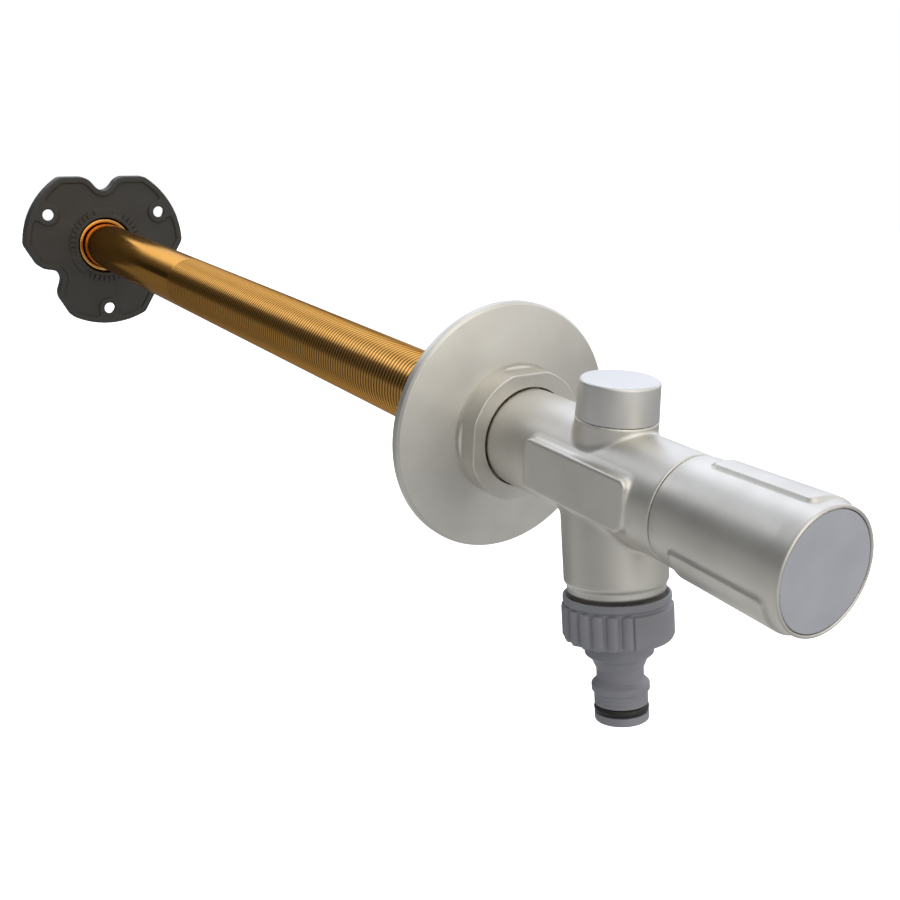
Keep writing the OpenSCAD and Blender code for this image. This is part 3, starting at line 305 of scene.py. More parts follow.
def rounded(corners, steps=5):
    """A closed outline from corners (x, y, radius), each rounded to its radius."""
    outline = []
    for i, (x, y, radius) in enumerate(corners):
        here = np.array((x, y))
        if radius <= 0:
            outline.append((x, y))
            continue
        before = np.array(corners[i - 1][:2]) - here
        after = np.array(corners[(i + 1) % len(corners)][:2]) - here
        u, v = before / np.linalg.norm(before), after / np.linalg.norm(after)
        half = math.acos(np.clip(np.dot(u, v), -1, 1)) / 2
        reach = min(radius / math.tan(half), 0.49 * np.linalg.norm(before), 0.49 * np.linalg.norm(after))
        centre = here + (u + v) / np.linalg.norm(u + v) * reach / math.cos(half)
        first, last = here + u * reach - centre, here + v * reach - centre
        sweep = math.atan2(first[0] * last[1] - first[1] * last[0], np.dot(first, last))
        for k in range(steps + 1):
            turn = sweep * k / steps
            outline.append((centre[0] + first[0] * math.cos(turn) - first[1] * math.sin(turn),
                            centre[1] + first[0] * math.sin(turn) + first[1] * math.cos(turn)))
    return outline


def along_tube(r, turn, height):
    """A turned point about the tube axis. height is y."""
    return np.stack([r * np.cos(turn), height, r * np.sin(turn)], -1)


def up_vent(r, turn, height):
    """A turned point about the vent's axis. height is z."""
    return np.stack([r * np.cos(turn), SPOUT_Y + r * np.sin(turn), height], -1)


def down_spout(r, turn, height):
    """A turned point about the spout's leaning axis. height is minus the depth."""
    return from_spout(np.stack([r * np.cos(turn), r * np.sin(turn), height + 0 * r], -1))


def from_spout(points):
    """Points of the spout's frame in the tap's frame."""
    x, y, z = np.moveaxis(np.asarray(points, float), -1, 0)
    return np.stack([x, SPOUT_Y + y * math.cos(SPOUT_TILT) + z * math.sin(SPOUT_TILT),
                     z * math.cos(SPOUT_TILT) - y * math.sin(SPOUT_TILT)], -1)


def to_spout(x, y, z):
    """Coordinates in the spout's frame: across, along and depth below the tube axis."""
    away = y - SPOUT_Y
    return (x, away * math.cos(SPOUT_TILT) - z * math.sin(SPOUT_TILT),
            -(away * math.sin(SPOUT_TILT) + z * math.cos(SPOUT_TILT)))


def face_outwards(piece):
    """Merges doubled points and turns every face outwards."""
    work = bmesh.new()
    work.from_mesh(piece.data)
    bmesh.ops.remove_doubles(work, verts=work.verts, dist=1e-7)
    bmesh.ops.dissolve_degenerate(work, edges=work.edges, dist=1e-7)
    bmesh.ops.recalc_face_normals(work, faces=work.faces)
    work.to_mesh(piece.data)
    work.free()
    return piece


def turned(name, outline, place, segments=128):
    """A closed solid turned from a closed outline of radius and height."""
    outline = np.array(outline, float)
    turns = np.arange(segments) * 2 * math.pi / segments
    r, t = np.meshgrid(outline[:, 0], turns)
    h, _ = np.meshgrid(outline[:, 1], turns)
    points = place(r, t, h).reshape(-1, 3)
    count = len(outline)
    faces = []
    for i in range(segments):
        a, b = i * count, (i + 1) % segments * count
        for j in range(count):
            k = (j + 1) % count
            if outline[j, 0] > 0 or outline[k, 0] > 0:
                faces.append((a + j, b + j, b + k, a + k))
    return face_outwards(make_piece(name, points, faces))


# Rounded solids as fields: a field is negative inside, and its zero surface becomes the mesh

def blend_union(a, b, radius):
    """Joins two fields with a hollow fillet."""
    reach = np.hypot(np.maximum(radius - a, 0), np.maximum(radius - b, 0))
    return np.maximum(radius, np.minimum(a, b)) - reach


def blend_cut(a, b, radius):
    """The overlap of two fields, its edge rounded."""
    reach = np.hypot(np.maximum(radius + a, 0), np.maximum(radius + b, 0))
    return np.minimum(-radius, np.maximum(a, b)) + reach


def between(value, low, high):
    """The field of a slab between two values."""
    return np.abs(value - (low + high) / 2) - (high - low) / 2


def rounded_rectangle(u, v, half_u, half_v, radius):
    """The field of a rectangle with round corners."""
    du, dv = np.abs(u) - half_u + radius, np.abs(v) - half_v + radius
    return np.hypot(np.maximum(du, 0), np.maximum(dv, 0)) + np.minimum(np.maximum(du, dv), 0) - radius


def bevelled(plan, top, wide, high, radius):
    """A raised pad from the field of its foot and of its top face, with a bevel between them."""
    slope = (plan / wide + top / high + 1) / math.hypot(1 / wide, 1 / high)
    return blend_cut(blend_cut(plan, top, radius), slope, radius)


CELL_CORNERS = [(i, j, k) for i in (0, 1) for j in (0, 1) for k in (0, 1)]
CELL_EDGES = [
    (a, b) for a in CELL_CORNERS for b in CELL_CORNERS if a < b and sum(abs(p - q) for p, q in zip(a, b)) == 1]


def skin(name, field, low, high, step):
    """A mesh on a field's zero surface: one point in each grid cell that it crosses, then moved onto it."""
    low = np.array(low, float)
    counts = np.ceil((np.array(high, float) - low) / step).astype(int) + 1
    lines = [low[d] + step * np.arange(counts[d]) for d in range(3)]
    values = field(*np.meshgrid(*lines, indexing="ij"))
    inside = values < 0
    filled = sum(inside[tuple(slice(o[d], counts[d] - 1 + o[d]) for d in range(3))].astype(np.int8)
                 for o in CELL_CORNERS)
    cells = np.argwhere((filled > 0) & (filled < 8))
    number = np.full(counts - 1, -1)
    number[tuple(cells.T)] = np.arange(len(cells))
    total, hits = np.zeros((len(cells), 3)), np.zeros((len(cells), 1))
    for a, b in CELL_EDGES:
        va, vb = (values[tuple((cells + o).T)] for o in (a, b))
        cross = (va < 0) != (vb < 0)
        share = np.where(cross, va / np.where(cross, va - vb, 1), 0)[:, None]
        total += np.where(cross[:, None], np.array(a) + share * (np.array(b) - np.array(a)), 0)
        hits += cross[:, None]
    points = low + step * (cells + total / hits)
    points = settle(points, field, step)
    quads = []
    for d in range(3):
        u, v = (d + 1) % 3, (d + 2) % 3
        ahead = np.roll(inside, -1, axis=d)
        edge = inside != ahead
        edge[tuple(slice(-1, None) if e == d else slice(None) for e in range(3))] = False
        spots = np.argwhere(edge)
        spots = spots[(spots[:, u] > 0) & (spots[:, v] > 0)
                      & (spots[:, u] < counts[u] - 1) & (spots[:, v] < counts[v] - 1)]
        ring = []
        for du, dv in ((-1, -1), (0, -1), (0, 0), (-1, 0)):
            cell = spots.copy()
            cell[:, u] += du
            cell[:, v] += dv
            ring.append(number[tuple(cell.T)])
        ring = np.stack(ring, 1)
        outward = inside[tuple(spots.T)]
        quads.append(np.where(outward[:, None], ring, ring[:, ::-1]))
    return make_piece(name, points, np.concatenate(quads).tolist(), None)


def settle(points, field, step, rounds=4, reach=0.02):
    """Moves points onto a field's zero surface along its slope."""
    for _ in range(rounds):
        value = field(*points.T)
        slope = np.stack([(field(*(points + reach * axis).T) - field(*(points - reach * axis).T)) / (2 * reach)
                          for axis in np.eye(3)], 1)
        move = value[:, None] * slope / np.maximum((slope ** 2).sum(1, keepdims=True), 0.2)
        length = np.linalg.norm(move, axis=1, keepdims=True)
        points = points - move * np.minimum(1, step / 2 / np.maximum(length, 1e-9))
    return points


# Geometry Nodes

def node_tree(name, inputs):
    """A Geometry Nodes tree with named inputs, and its group input and output nodes."""
    tree = bpy.data.node_groups.new(name, "GeometryNodeTree")
    tree.interface.new_socket("Geometry", in_out="INPUT", socket_type="NodeSocketGeometry")
    for label, kind in inputs:
        tree.interface.new_socket(label, in_out="INPUT", socket_type=kind)
    tree.interface.new_socket("Geometry", in_out="OUTPUT", socket_type="NodeSocketGeometry")
    return tree, tree.nodes.new("NodeGroupInput"), tree.nodes.new("NodeGroupOutput")


def finish_tree(tree, geometry, material, out):
    """Ends a tree with real geometry and its material."""
    real = add(tree, "GeometryNodeRealizeInstances", {"Geometry": geometry})
    coloured = add(tree, "GeometryNodeSetMaterial", {"Geometry": real, "Material": material})
    tree.links.new(coloured.outputs[0], out.inputs["Geometry"])


def grow(name, tree, values, base):
    """Runs a tree with its values on a base mesh and returns the result as a plain mesh object."""
    modifier = base.modifiers.new("grow", "NODES")
    modifier.node_group = tree
    for item in tree.interface.items_tree:
        if item.in_out == "INPUT" and item.name in values:
            modifier[item.identifier] = values[item.name]
    bpy.context.view_layer.update()
    shape = base.evaluated_get(bpy.context.evaluated_depsgraph_get())
    mesh = bpy.data.meshes.new_from_object(shape)
    bpy.data.objects.remove(base)
    mesh.name = name
    piece = bpy.data.objects.new(name, mesh)
    bpy.context.scene.collection.objects.link(piece)
    return piece


def thread_tree(material):
    """A tube whose outer wall follows a screw thread: each point is pushed in by its place in the pitch."""
    tree, given, out = node_tree("screw_thread", [
        ("Rings", "NodeSocketInt"), ("Sides", "NodeSocketInt"), ("Start", "NodeSocketFloat"),
        ("Length", "NodeSocketFloat"), ("Crest Radius", "NodeSocketFloat"), ("Depth", "NodeSocketFloat"),
        ("Pitch", "NodeSocketFloat"), ("Thread End", "NodeSocketFloat")])
    size = given.outputs
    grid = add(tree, "GeometryNodeMeshGrid", {
        "Size X": 1.0, "Size Y": 1.0, "Vertices X": size["Sides"], "Vertices Y": size["Rings"]})
    spot = add(tree, "ShaderNodeSeparateXYZ", {"Vector": add(tree, "GeometryNodeInputPosition")}).outputs
    # The grid's X becomes the turn about the axis, and its Y the place along it
    share = add(tree, "ShaderNodeMath", {0: spot["X"], 1: 0.5}, operation="ADD")
    turn = add(tree, "ShaderNodeMath", {0: share, 1: -2 * math.pi}, operation="MULTIPLY")
    way = add(tree, "ShaderNodeMath", {0: spot["Y"], 1: 0.5}, operation="ADD")
    gone = add(tree, "ShaderNodeMath", {0: way, 1: size["Length"]}, operation="MULTIPLY")
    place = add(tree, "ShaderNodeMath", {0: size["Start"], 1: gone}, operation="ADD")
    # The groove's depth follows the place within the pitch, with a flat crest
    pitches = add(tree, "ShaderNodeMath", {0: place, 1: size["Pitch"]}, operation="DIVIDE")
    behind = add(tree, "ShaderNodeMath", {0: pitches, 1: share}, operation="SUBTRACT")
    phase = add(tree, "ShaderNodeMath", {0: behind}, operation="FRACT")
    doubled = add(tree, "ShaderNodeMath", {0: phase, 1: 2.0}, operation="MULTIPLY")
    centred = add(tree, "ShaderNodeMath", {0: doubled, 1: 1.0}, operation="SUBTRACT")
    ridge = add(tree, "ShaderNodeMath", {0: centred}, operation="ABSOLUTE")
    groove = add(tree, "ShaderNodeMapRange", {
        "Value": ridge, "From Min": 0.3, "From Max": 1.0, "To Min": 0.0, "To Max": 1.0})
    # The thread runs out over its last half pitch
    left = add(tree, "ShaderNodeMath", {0: size["Thread End"], 1: place}, operation="SUBTRACT")
    half_pitch = add(tree, "ShaderNodeMath", {0: size["Pitch"], 1: 0.5}, operation="MULTIPLY")
    runout = add(tree, "ShaderNodeClamp", {
        "Value": add(tree, "ShaderNodeMath", {0: left, 1: half_pitch}, operation="DIVIDE")})
    share_cut = add(tree, "ShaderNodeMath", {0: groove, 1: runout}, operation="MULTIPLY")
    cut = add(tree, "ShaderNodeMath", {0: share_cut, 1: size["Depth"]}, operation="MULTIPLY")
    radius = add(tree, "ShaderNodeMath", {0: size["Crest Radius"], 1: cut}, operation="SUBTRACT")
    cosine = add(tree, "ShaderNodeMath", {0: turn}, operation="COSINE")
    sine = add(tree, "ShaderNodeMath", {0: turn}, operation="SINE")
    point = add(tree, "ShaderNodeCombineXYZ", {
        "X": add(tree, "ShaderNodeMath", {0: radius, 1: cosine}, operation="MULTIPLY"),
        "Y": place,
        "Z": add(tree, "ShaderNodeMath", {0: radius, 1: sine}, operation="MULTIPLY")})
    moved = add(tree, "GeometryNodeSetPosition", {"Geometry": grid, "Position": point})
    joined = add(tree, "GeometryNodeJoinGeometry", {0: moved})
    tree.links.new(size["Geometry"], joined.inputs[0])
    closed = add(tree, "GeometryNodeMergeByDistance", {"Geometry": joined, "Distance": 0.002 * MM})
    finish_tree(tree, closed, material, out)
    return tree


def ring_tree(material):
    """Copies of the base mesh turned about the Z axis: the union nut's ribs, or the plate's marks."""
    tree, given, out = node_tree("turned_copies", [
        ("Count", "NodeSocketInt"), ("Spacing", "NodeSocketFloat"), ("First Angle", "NodeSocketFloat")])
    size = given.outputs
    points = add(tree, "GeometryNodePoints", {"Count": size["Count"]})
    index = add(tree, "GeometryNodeInputIndex")
    step = add(tree, "ShaderNodeMath", {0: index, 1: size["Spacing"]}, operation="MULTIPLY")
    angle = add(tree, "ShaderNodeMath", {0: size["First Angle"], 1: step}, operation="ADD")
    turn = add(tree, "ShaderNodeCombineXYZ", {"Z": angle})
    copies = add(tree, "GeometryNodeInstanceOnPoints", {
        "Points": points, "Instance": size["Geometry"], "Rotation": turn})
    finish_tree(tree, copies, material, out)
    return tree


def join(name, pieces):
    """Joins mesh objects into one."""
    bpy.ops.object.select_all(action="DESELECT")
    for piece in pieces:
        piece.select_set(True)
    bpy.context.view_layer.objects.active = pieces[0]
    bpy.ops.object.join()
    pieces[0].name = name
    return pieces[0]


def move_points(piece, change):
    """Moves every point of a piece by a function of its points in millimetres."""
    mesh = piece.data
    points = np.empty(len(mesh.vertices) * 3)
    mesh.vertices.foreach_get("co", points)
    mesh.vertices.foreach_set("co", (change(points.reshape(-1, 3) / MM) * MM).ravel())
    mesh.update()
    return piece


def ring_of(name, bar, slot, spacing, groups):
    """One mesh of a bar's copies round the Z axis, in groups (first angle, count). The bar itself goes."""
    tree = ring_tree(MATERIALS[slot])
    grown = []
    for first, count in groups:
        base = bar.copy()
        base.data = bar.data.copy()
        bpy.context.scene.collection.objects.link(base)
        grown.append(grow(name, tree, {
            "Count": count, "Spacing": math.radians(spacing), "First Angle": math.radians(first)}, base))
    bpy.data.objects.remove(bar)
    return join(name, grown)


# Pieces

THREAD_EDGE = 30.0
THREAD_SIDES = 72
RINGS_PER_PITCH = 6


def threaded(name, slot, crest_r, depth, pitch, thread_len, stations, place):
    """A tube with a helical thread from its end at 0, then turned stations (y, radius) back to its bore."""
    turns = np.linspace(0, -2 * math.pi, THREAD_SIDES)[:-1]
    count = THREAD_SIDES - 1
    length = thread_len + pitch
    stations = [(length, crest_r)] + stations
    points = np.concatenate([along_tube(r, turns, np.full(count, y)) for y, r in stations])
    faces = []
    for a in range(0, (len(stations) - 1) * count, count):
        for i in range(count):
            beside = (i + 1) % count
            faces.append((a + i, a + count + i, a + count + beside, a + beside))
    plain = make_piece(name + "_plain", points, faces)
    tube = grow(name, thread_tree(MATERIALS[slot]), {
        "Rings": int(length / pitch * RINGS_PER_PITCH) + 1, "Sides": THREAD_SIDES, "Start": 0.0,
        "Length": length * MM, "Crest Radius": crest_r * MM, "Depth": depth * MM, "Pitch": pitch * MM,
        "Thread End": thread_len * MM}, plain)
    work = bmesh.new()
    work.from_mesh(tube.data)
    bmesh.ops.bridge_loops(work, edges=[e for e in work.edges if e.is_boundary])
    bmesh.ops.recalc_face_normals(work, faces=work.faces)
    work.to_mesh(tube.data)
    work.free()
    move_points(tube, place)
    tube.data.shade_smooth()
    tube.data.set_sharp_from_angle(angle=math.radians(THREAD_EDGE))
    return tube


def wall_tube():
    """The bronze tube: threaded from the body to the wall, then plain up to the inlet fitting."""
    end = TUBE_END - TUBE_FRONT
    tube = threaded(
        "threaded_wall_tube", "tube_bronze", TUBE_R, THREAD_DEPTH, THREAD_PITCH, THREAD_END - TUBE_FRONT,
        [(end - TUBE_CHAMFER, TUBE_R), (end, TUBE_R - TUBE_CHAMFER), (end, TUBE_BORE_R), (0, TUBE_BORE_R)],
        lambda p: p + (0, TUBE_FRONT, 0))
    return dress(tube, "tube_bronze", "tap", "wall_tube")


# Inlet fitting
SPIGOT_R = 16.0
GAP_R = 13.75
GAP_MOUTH_R = 14.0
GAP_MOUTH_SLOPE = 0.7
GAP_DEPTH = 3.0
FLANGE_R = 21.0
HEX_HALF = 18.0
HEX_FACES = (30.0, 90.0, 150.0)
HEX_CORNER_R = 22.9
HEX_CORNER_SLOPE = 0.58
TUBE_SOCKET_BACK = 10.0
WATERWAY_R = 6.5
STUB_R = 13.1
STUB_THREAD_DEPTH = 0.9
STUB_THREAD_PITCH = 1.81
STUB_PLAIN = 3.0


def fitting_field(x, y, z):
    """The inlet fitting: spigot with a ring gap round the tube, flange, and chamfered spanner hexagon."""
    from_axis = np.hypot(x, z)
    spigot = blend_cut(from_axis - SPIGOT_R, between(y, SPIGOT_FRONT, PLATE_BACK + 1), 0.4)
    flange = blend_cut(from_axis - FLANGE_R, between(y, PLATE_BACK, FLANGE_END), 0.4)
    faces = [np.abs(x * math.cos(a) + z * math.sin(a)) for a in np.radians(HEX_FACES)]
    flats = np.maximum.reduce(faces) - HEX_HALF
    from_middle = np.abs(y - (FLANGE_END + HEX_END) / 2)
    cone = (from_axis + HEX_CORNER_SLOPE * from_middle - HEX_CORNER_R) / (2 * HEX_CORNER_SLOPE)
    hexagon = blend_cut(blend_cut(flats, between(y, FLANGE_END - 1, HEX_END), 0.3), cone, 0.2)
    solid = np.minimum(np.minimum(spigot, flange), hexagon)
    front = between(y, SPIGOT_FRONT - 2, SPIGOT_FRONT + GAP_DEPTH)
    gap = np.maximum(from_axis - GAP_R, front)
    mouth = np.maximum((from_axis - GAP_MOUTH_R + (y - SPIGOT_FRONT)) * GAP_MOUTH_SLOPE, front)
    socket = np.maximum(from_axis - TUBE_R - FIT_GAP, between(y, SPIGOT_FRONT, HEX_END - TUBE_SOCKET_BACK))
    waterway = np.maximum(from_axis - WATERWAY_R, between(y, SPIGOT_FRONT, HEX_END + 2))
    return blend_cut(solid, -np.minimum.reduce([gap, mouth, socket, waterway]), 0.1)


def inlet_fitting():
    """The inlet fitting's body, and its threaded stub."""
    body = skin("inlet_fitting_body", fitting_field, (-22, SPIGOT_FRONT - 1, -22), (22, HEX_END + 1, 22), 0.5)
    dress(body, "tube_bronze", "tap", "inlet_fitting")
    length = STUB_END - HEX_END
    stub = threaded(
        "inlet_thread_stub", "tube_bronze", STUB_R, STUB_THREAD_DEPTH, STUB_THREAD_PITCH, length - STUB_PLAIN,
        [(length + 0.5, STUB_R), (length + 0.5, WATERWAY_R), (0, WATERWAY_R)],
        lambda p: np.stack([-p[:, 0], STUB_END - p[:, 1], p[:, 2]], 1))
    dress(stub, "tube_bronze", "tap")


# Cast body: its side pad, its vent's spigot, and the radii of the ways bored in it
PAD_MIDDLE_Y = -56.7
PAD_MIDDLE_Z = 0.5
PAD_HALF_LEN = 21.9
PAD_HALF_HIGH = 7.7
PAD_CORNER = 2.6
PAD_ROOT = 11.6
VENT_SPIGOT_R = 9.4
VENT_SPIGOT_TOP = 23.0
SEAL_BORE_R = 11.2
BUSH_BORE_R = 10.35
AIR_WAY_R = 6.4
AIR_CHAMBER_R = 7.6
AIR_CHAMBER_FLOOR = 12.6
WATER_WAY_R = 6.8
CAGE_BORE_R = 9.5
CAGE_BORE_TOP = 31.0


def body_field(x, y, z):
    """The cast body: barrel, nose, vent boss, spout and side pad, with fillets, and the ways bored in it."""
    from_axis = np.hypot(x, z)
    barrel = blend_cut(from_axis - BODY_R, between(y, SEAM_Y, BODY_REAR), 0.35)
    nose = blend_cut(from_axis - NOSE_R, between(y, NOSE_FRONT, SEAM_Y + 3), 0.3)
    from_vent = np.hypot(x, y - SPOUT_Y)
    boss = blend_cut(from_vent - VENT_R, between(z, 0, VENT_SEAM - VENT_GROOVE), 0.1)
    spigot = blend_cut(from_vent - VENT_SPIGOT_R, between(z, 10, VENT_SPIGOT_TOP), 0.3)
    across, along, depth = to_spout(x, y, z)
    from_spout_axis = np.hypot(across, along)
    wall_r = np.interp(
        depth, [SPOUT_STEP, SPOUT_FOOT, NECK_END - 0.8, NECK_END, THREAD_TOP + 0.3, THREAD_TOP + 0.4],
        [SPOUT_R, NECK_R, NECK_R, NECK_R - 0.4, HOSE_THREAD_R, HOSE_THREAD_R])
    spout = blend_cut(from_spout_axis - wall_r, between(depth, 0, SPOUT_END), 0.4)
    pad_plan = rounded_rectangle(y - PAD_MIDDLE_Y, z - PAD_MIDDLE_Z, PAD_HALF_LEN, PAD_HALF_HIGH, PAD_CORNER)
    pad = np.maximum(bevelled(pad_plan, -x - PAD_OUT, 0.45, 0.5, 0.14), x + PAD_ROOT)
    solid = blend_union(barrel, boss, 1.0)
    solid = blend_union(solid, spout, 1.7)
    solid = blend_union(solid, pad, 1.3)
    solid = np.minimum(np.minimum(solid, nose), spigot)
    ways = [
        np.maximum(from_axis - TUBE_R - FIT_GAP, between(y, SEAL_FRONT, BODY_REAR + 1)),
        np.maximum(from_axis - SEAL_BORE_R, between(y, BUSH_REAR, SEAL_FRONT + 1)),
        np.maximum(from_axis - BUSH_BORE_R, between(y, NOSE_FRONT - 1, BUSH_REAR + 1)),
        np.maximum(from_vent - AIR_WAY_R, between(z, 0, AIR_CHAMBER_FLOOR + 0.4)),
        np.maximum(from_vent - AIR_CHAMBER_R, between(z, AIR_CHAMBER_FLOOR, VENT_SPIGOT_TOP + 1)),
        np.maximum(from_spout_axis - WATER_WAY_R, between(depth, 0, CAGE_BORE_TOP + 1)),
        np.maximum(from_spout_axis - CAGE_BORE_R, between(depth, CAGE_BORE_TOP, SPOUT_END + 1)),
    ]
    return blend_cut(solid, -np.minimum.reduce(ways), 0.12)


def valve_body():
    """The cast valve body in satin chrome."""
    body = skin("cast_body", body_field, (-18.5, -96.5, -48), (17, -12.5, 24.5), 0.52)
    return dress(body, "satin_chrome", "tap", "valve_body")


# Handle: its flaring wall as (y, radius), its grip pads, and its bores
HANDLE_WALL = [(HANDLE_FRONT, 16.92), (-127.0, 17.0), (-90.0, 15.9), (-88.2, 15.72), (HANDLE_REAR, 15.7)]
GRIP_ANGLES = (60.0, 240.0)
GRIP_TOP = [(-127.7, 17.9), (-97.3, 17.0)]
GRIP_MIDDLE_Y = -111.95
GRIP_HALF_LEN = 16.75
GRIP_MEAN_R = 17.4
GRIP_HALF_ARC = 13.2
GRIP_CORNER = 2.4
GRIP_ROOT = 14.6
INSERT_BORE_R = 13.6
INSERT_SEAT = 4.0
DISC_POCKET_R = 15.95
DISC_SEAT = -129.5


def handle_field(x, y, z):
    """The handle's shell: a slowly flaring barrel with two raised grip pads, bored for nose and disc."""
    from_axis = np.hypot(x, z)
    wall_r = np.interp(y, *zip(*HANDLE_WALL))
    shell = blend_cut(from_axis - wall_r, between(y, HANDLE_FRONT, HANDLE_REAR), 0.5)
    top_r = np.interp(y, *zip(*GRIP_TOP))
    turn = np.degrees(np.arctan2(z, x))
    for middle in GRIP_ANGLES:
        away = (turn - middle + 180) % 360 - 180
        plan = rounded_rectangle(
            np.radians(away) * GRIP_MEAN_R, y - GRIP_MIDDLE_Y, GRIP_HALF_ARC, GRIP_HALF_LEN, GRIP_CORNER)
        pad = bevelled(plan, from_axis - top_r, 0.8, 0.95, 0.16)
        shell = blend_union(shell, np.maximum(pad, GRIP_ROOT - from_axis), 0.7)
    bore = np.maximum(from_axis - INSERT_BORE_R, between(y, DISC_BACK - INSERT_SEAT, HANDLE_REAR + 1))
    pocket = np.maximum(from_axis - DISC_POCKET_R, between(y, HANDLE_FRONT - 1, DISC_SEAT))
    return blend_cut(shell, -np.minimum(bore, pocket), 0.2)


def handle_shell():
    """The handle's shell in satin chrome."""
    shell = skin("handle_barrel", handle_field, (-19, -133.5, -19), (19, -86.5, 19), 0.4)
    return dress(shell, "satin_chrome", "handle", "handle_shell")


DISC_R = 15.78
DISC_SKIRT_R = 13.4
DISC_SKIRT_BORE_R = 12.4


def end_disc():
    """The grey disc in the handle's end, with the skirt that holds it."""
    outline = rounded([
        (0, DISC_FRONT, 0), (DISC_R, DISC_FRONT, 0.35), (DISC_R, DISC_SEAT, 0.1), (DISC_SKIRT_R, DISC_SEAT, 0),
        (DISC_SKIRT_R, DISC_BACK, 0), (DISC_SKIRT_BORE_R, DISC_BACK, 0), (DISC_SKIRT_BORE_R, DISC_SEAT, 0),
        (0, DISC_SEAT, 0)])
    return dress(turned("handle_end_disc", outline, along_tube), "disc_grey", "handle", "end_disc")


# Collar nut
NUT_R = 21.5
NUT_HALF = 20.5
NUT_FLANGE = 1.2
NUT_SLEEVE_R = 16.0
NUT_THREAD_R = 13.35
NUT_MOUTH_R = 16.15
NUT_MOUTH_END = -8.93


def nut_field(x, y, z):
    """The collar nut: a round flange, four flats above it, a sleeve behind, and its bore."""
    from_axis = np.hypot(x, z)
    flats = np.maximum(np.abs(x), np.abs(z)) - NUT_HALF
    crown = blend_cut(from_axis - NUT_R, between(y, NUT_FRONT, ROSETTE_FRONT), 0.35)
    crown = blend_cut(crown, flats, 0.3)
    flange = blend_cut(from_axis - NUT_R, between(y, ROSETTE_FRONT - NUT_FLANGE, ROSETTE_FRONT), 0.12)
    sleeve = np.maximum(from_axis - NUT_SLEEVE_R, between(y, ROSETTE_FRONT - 1, NUT_REAR))
    rise = blend_cut(blend_union(crown, flange, 0.9), from_axis - NUT_R, 0.1)
    solid = np.minimum(rise, sleeve)
    bore = np.minimum(np.maximum(from_axis - NUT_THREAD_R, between(y, -30, 2)),
                      np.maximum(from_axis - NUT_MOUTH_R, between(y, -30, NUT_MOUTH_END)))
    return blend_cut(solid, -bore, 0.15)


def collar_nut():
    """The collar nut in satin chrome."""
    nut = skin("collar_nut_body", nut_field, (-22.5, -15.7, -22.5), (22.5, 0.6, 22.5), 0.3)
    return dress(nut, "satin_chrome", "collar", "collar_nut")


ROSETTE_R = 41.0
ROSETTE_BORE_R = 16.3
GASKET_RECESS = -2.0


def escutcheon():
    """The rosette: a shallow cone with a rounded rim, hollow behind where its gasket sits."""
    outline = rounded([
        (ROSETTE_BORE_R, 0, 0.2), (24.0, 0, 0), (24.0, GASKET_RECESS, 0), (36.0, GASKET_RECESS, 0),
        (36.0, 0, 0), (ROSETTE_R, 0, 0.2), (ROSETTE_R, -2.35, 0.35), (40.15, -3.3, 0.35),
        (22.2, ROSETTE_FRONT, 1.5), (ROSETTE_BORE_R, ROSETTE_FRONT, 0.2)])
    return dress(turned("rosette_disc", outline, along_tube, 192), "satin_chrome", "rosette", "escutcheon")


CAP_FOOT_R = 11.95
CAP_TOP_R = 11.5
CAP_BORE_R = 10.2
CAP_WALL = 1.4


def vent_cap():
    """The vent's round cap, hollow below."""
    outline = rounded([
        (CAP_BORE_R, VENT_SEAM, 0), (CAP_FOOT_R, VENT_SEAM, 0.1), (CAP_TOP_R, VENT_TOP, 0.95), (0, VENT_TOP, 0),
        (0, VENT_TOP - CAP_WALL, 0), (CAP_BORE_R, VENT_TOP - CAP_WALL, 0.8)], 8)
    return dress(turned("vent_cap_shell", outline, up_vent), "cap_chrome", "tap", "vent_cap")


# Union nut: heights are depths down the spout's axis
UNION_TOP = 34.6
UNION_LOW = 48.2
LIP_R = 15.9
LIP_LOW = 36.9
UNION_CORE_R = 15.25
UNION_GRIP_R = 16.45
PANEL_TOP = 37.9
RIB_STEP = 16.4
RIB_ANGLE = 191.0
RIBS = 7
RIB_FOOT_R = 14.38
UNION_FLOOR = 46.3
UNION_HOLE_R = 10.25


def union_field(x, y, z):
    """The union nut without its ribs: core, lip and the two smooth panels between the groups of ribs."""
    across, along, depth = to_spout(x, y, z)
    from_axis = np.hypot(across, along)
    core_r = np.interp(depth, [LIP_LOW, 37.2, 47.3, UNION_LOW], [15.6, UNION_CORE_R, UNION_CORE_R, 15.0])
    core = blend_cut(from_axis - core_r, between(depth, UNION_TOP + 0.5, UNION_LOW), 0.3)
    lip = blend_cut(from_axis - LIP_R, between(depth, UNION_TOP, LIP_LOW), 0.55)
    turn = np.degrees(np.arctan2(along, across))
    away = np.abs((turn - RIB_ANGLE) % 180 - 90)
    panel_half = 90 - (RIBS - 1) / 2 * RIB_STEP - 5.5
    side = (away - panel_half) * math.radians(1) * UNION_GRIP_R
    panel_r = np.interp(depth, [46.8, UNION_LOW], [UNION_GRIP_R, 15.8])
    panel = blend_cut(from_axis - panel_r, between(depth, PANEL_TOP, UNION_LOW), 0.45)
    panel = blend_cut(panel, side, 0.5)
    solid = blend_union(blend_union(core, lip, 0.25), panel, 0.8)
    mouth_r = np.interp(depth, [UNION_TOP, 36.3, 36.4], [15.2, 13.4, 13.15])
    bore = np.maximum(from_axis - mouth_r, between(depth, UNION_TOP - 3, UNION_FLOOR))
    hole = np.maximum(from_axis - UNION_HOLE_R, between(depth, 44, UNION_LOW + 2))
    return blend_cut(solid, -np.minimum(bore, hole), 0.15)


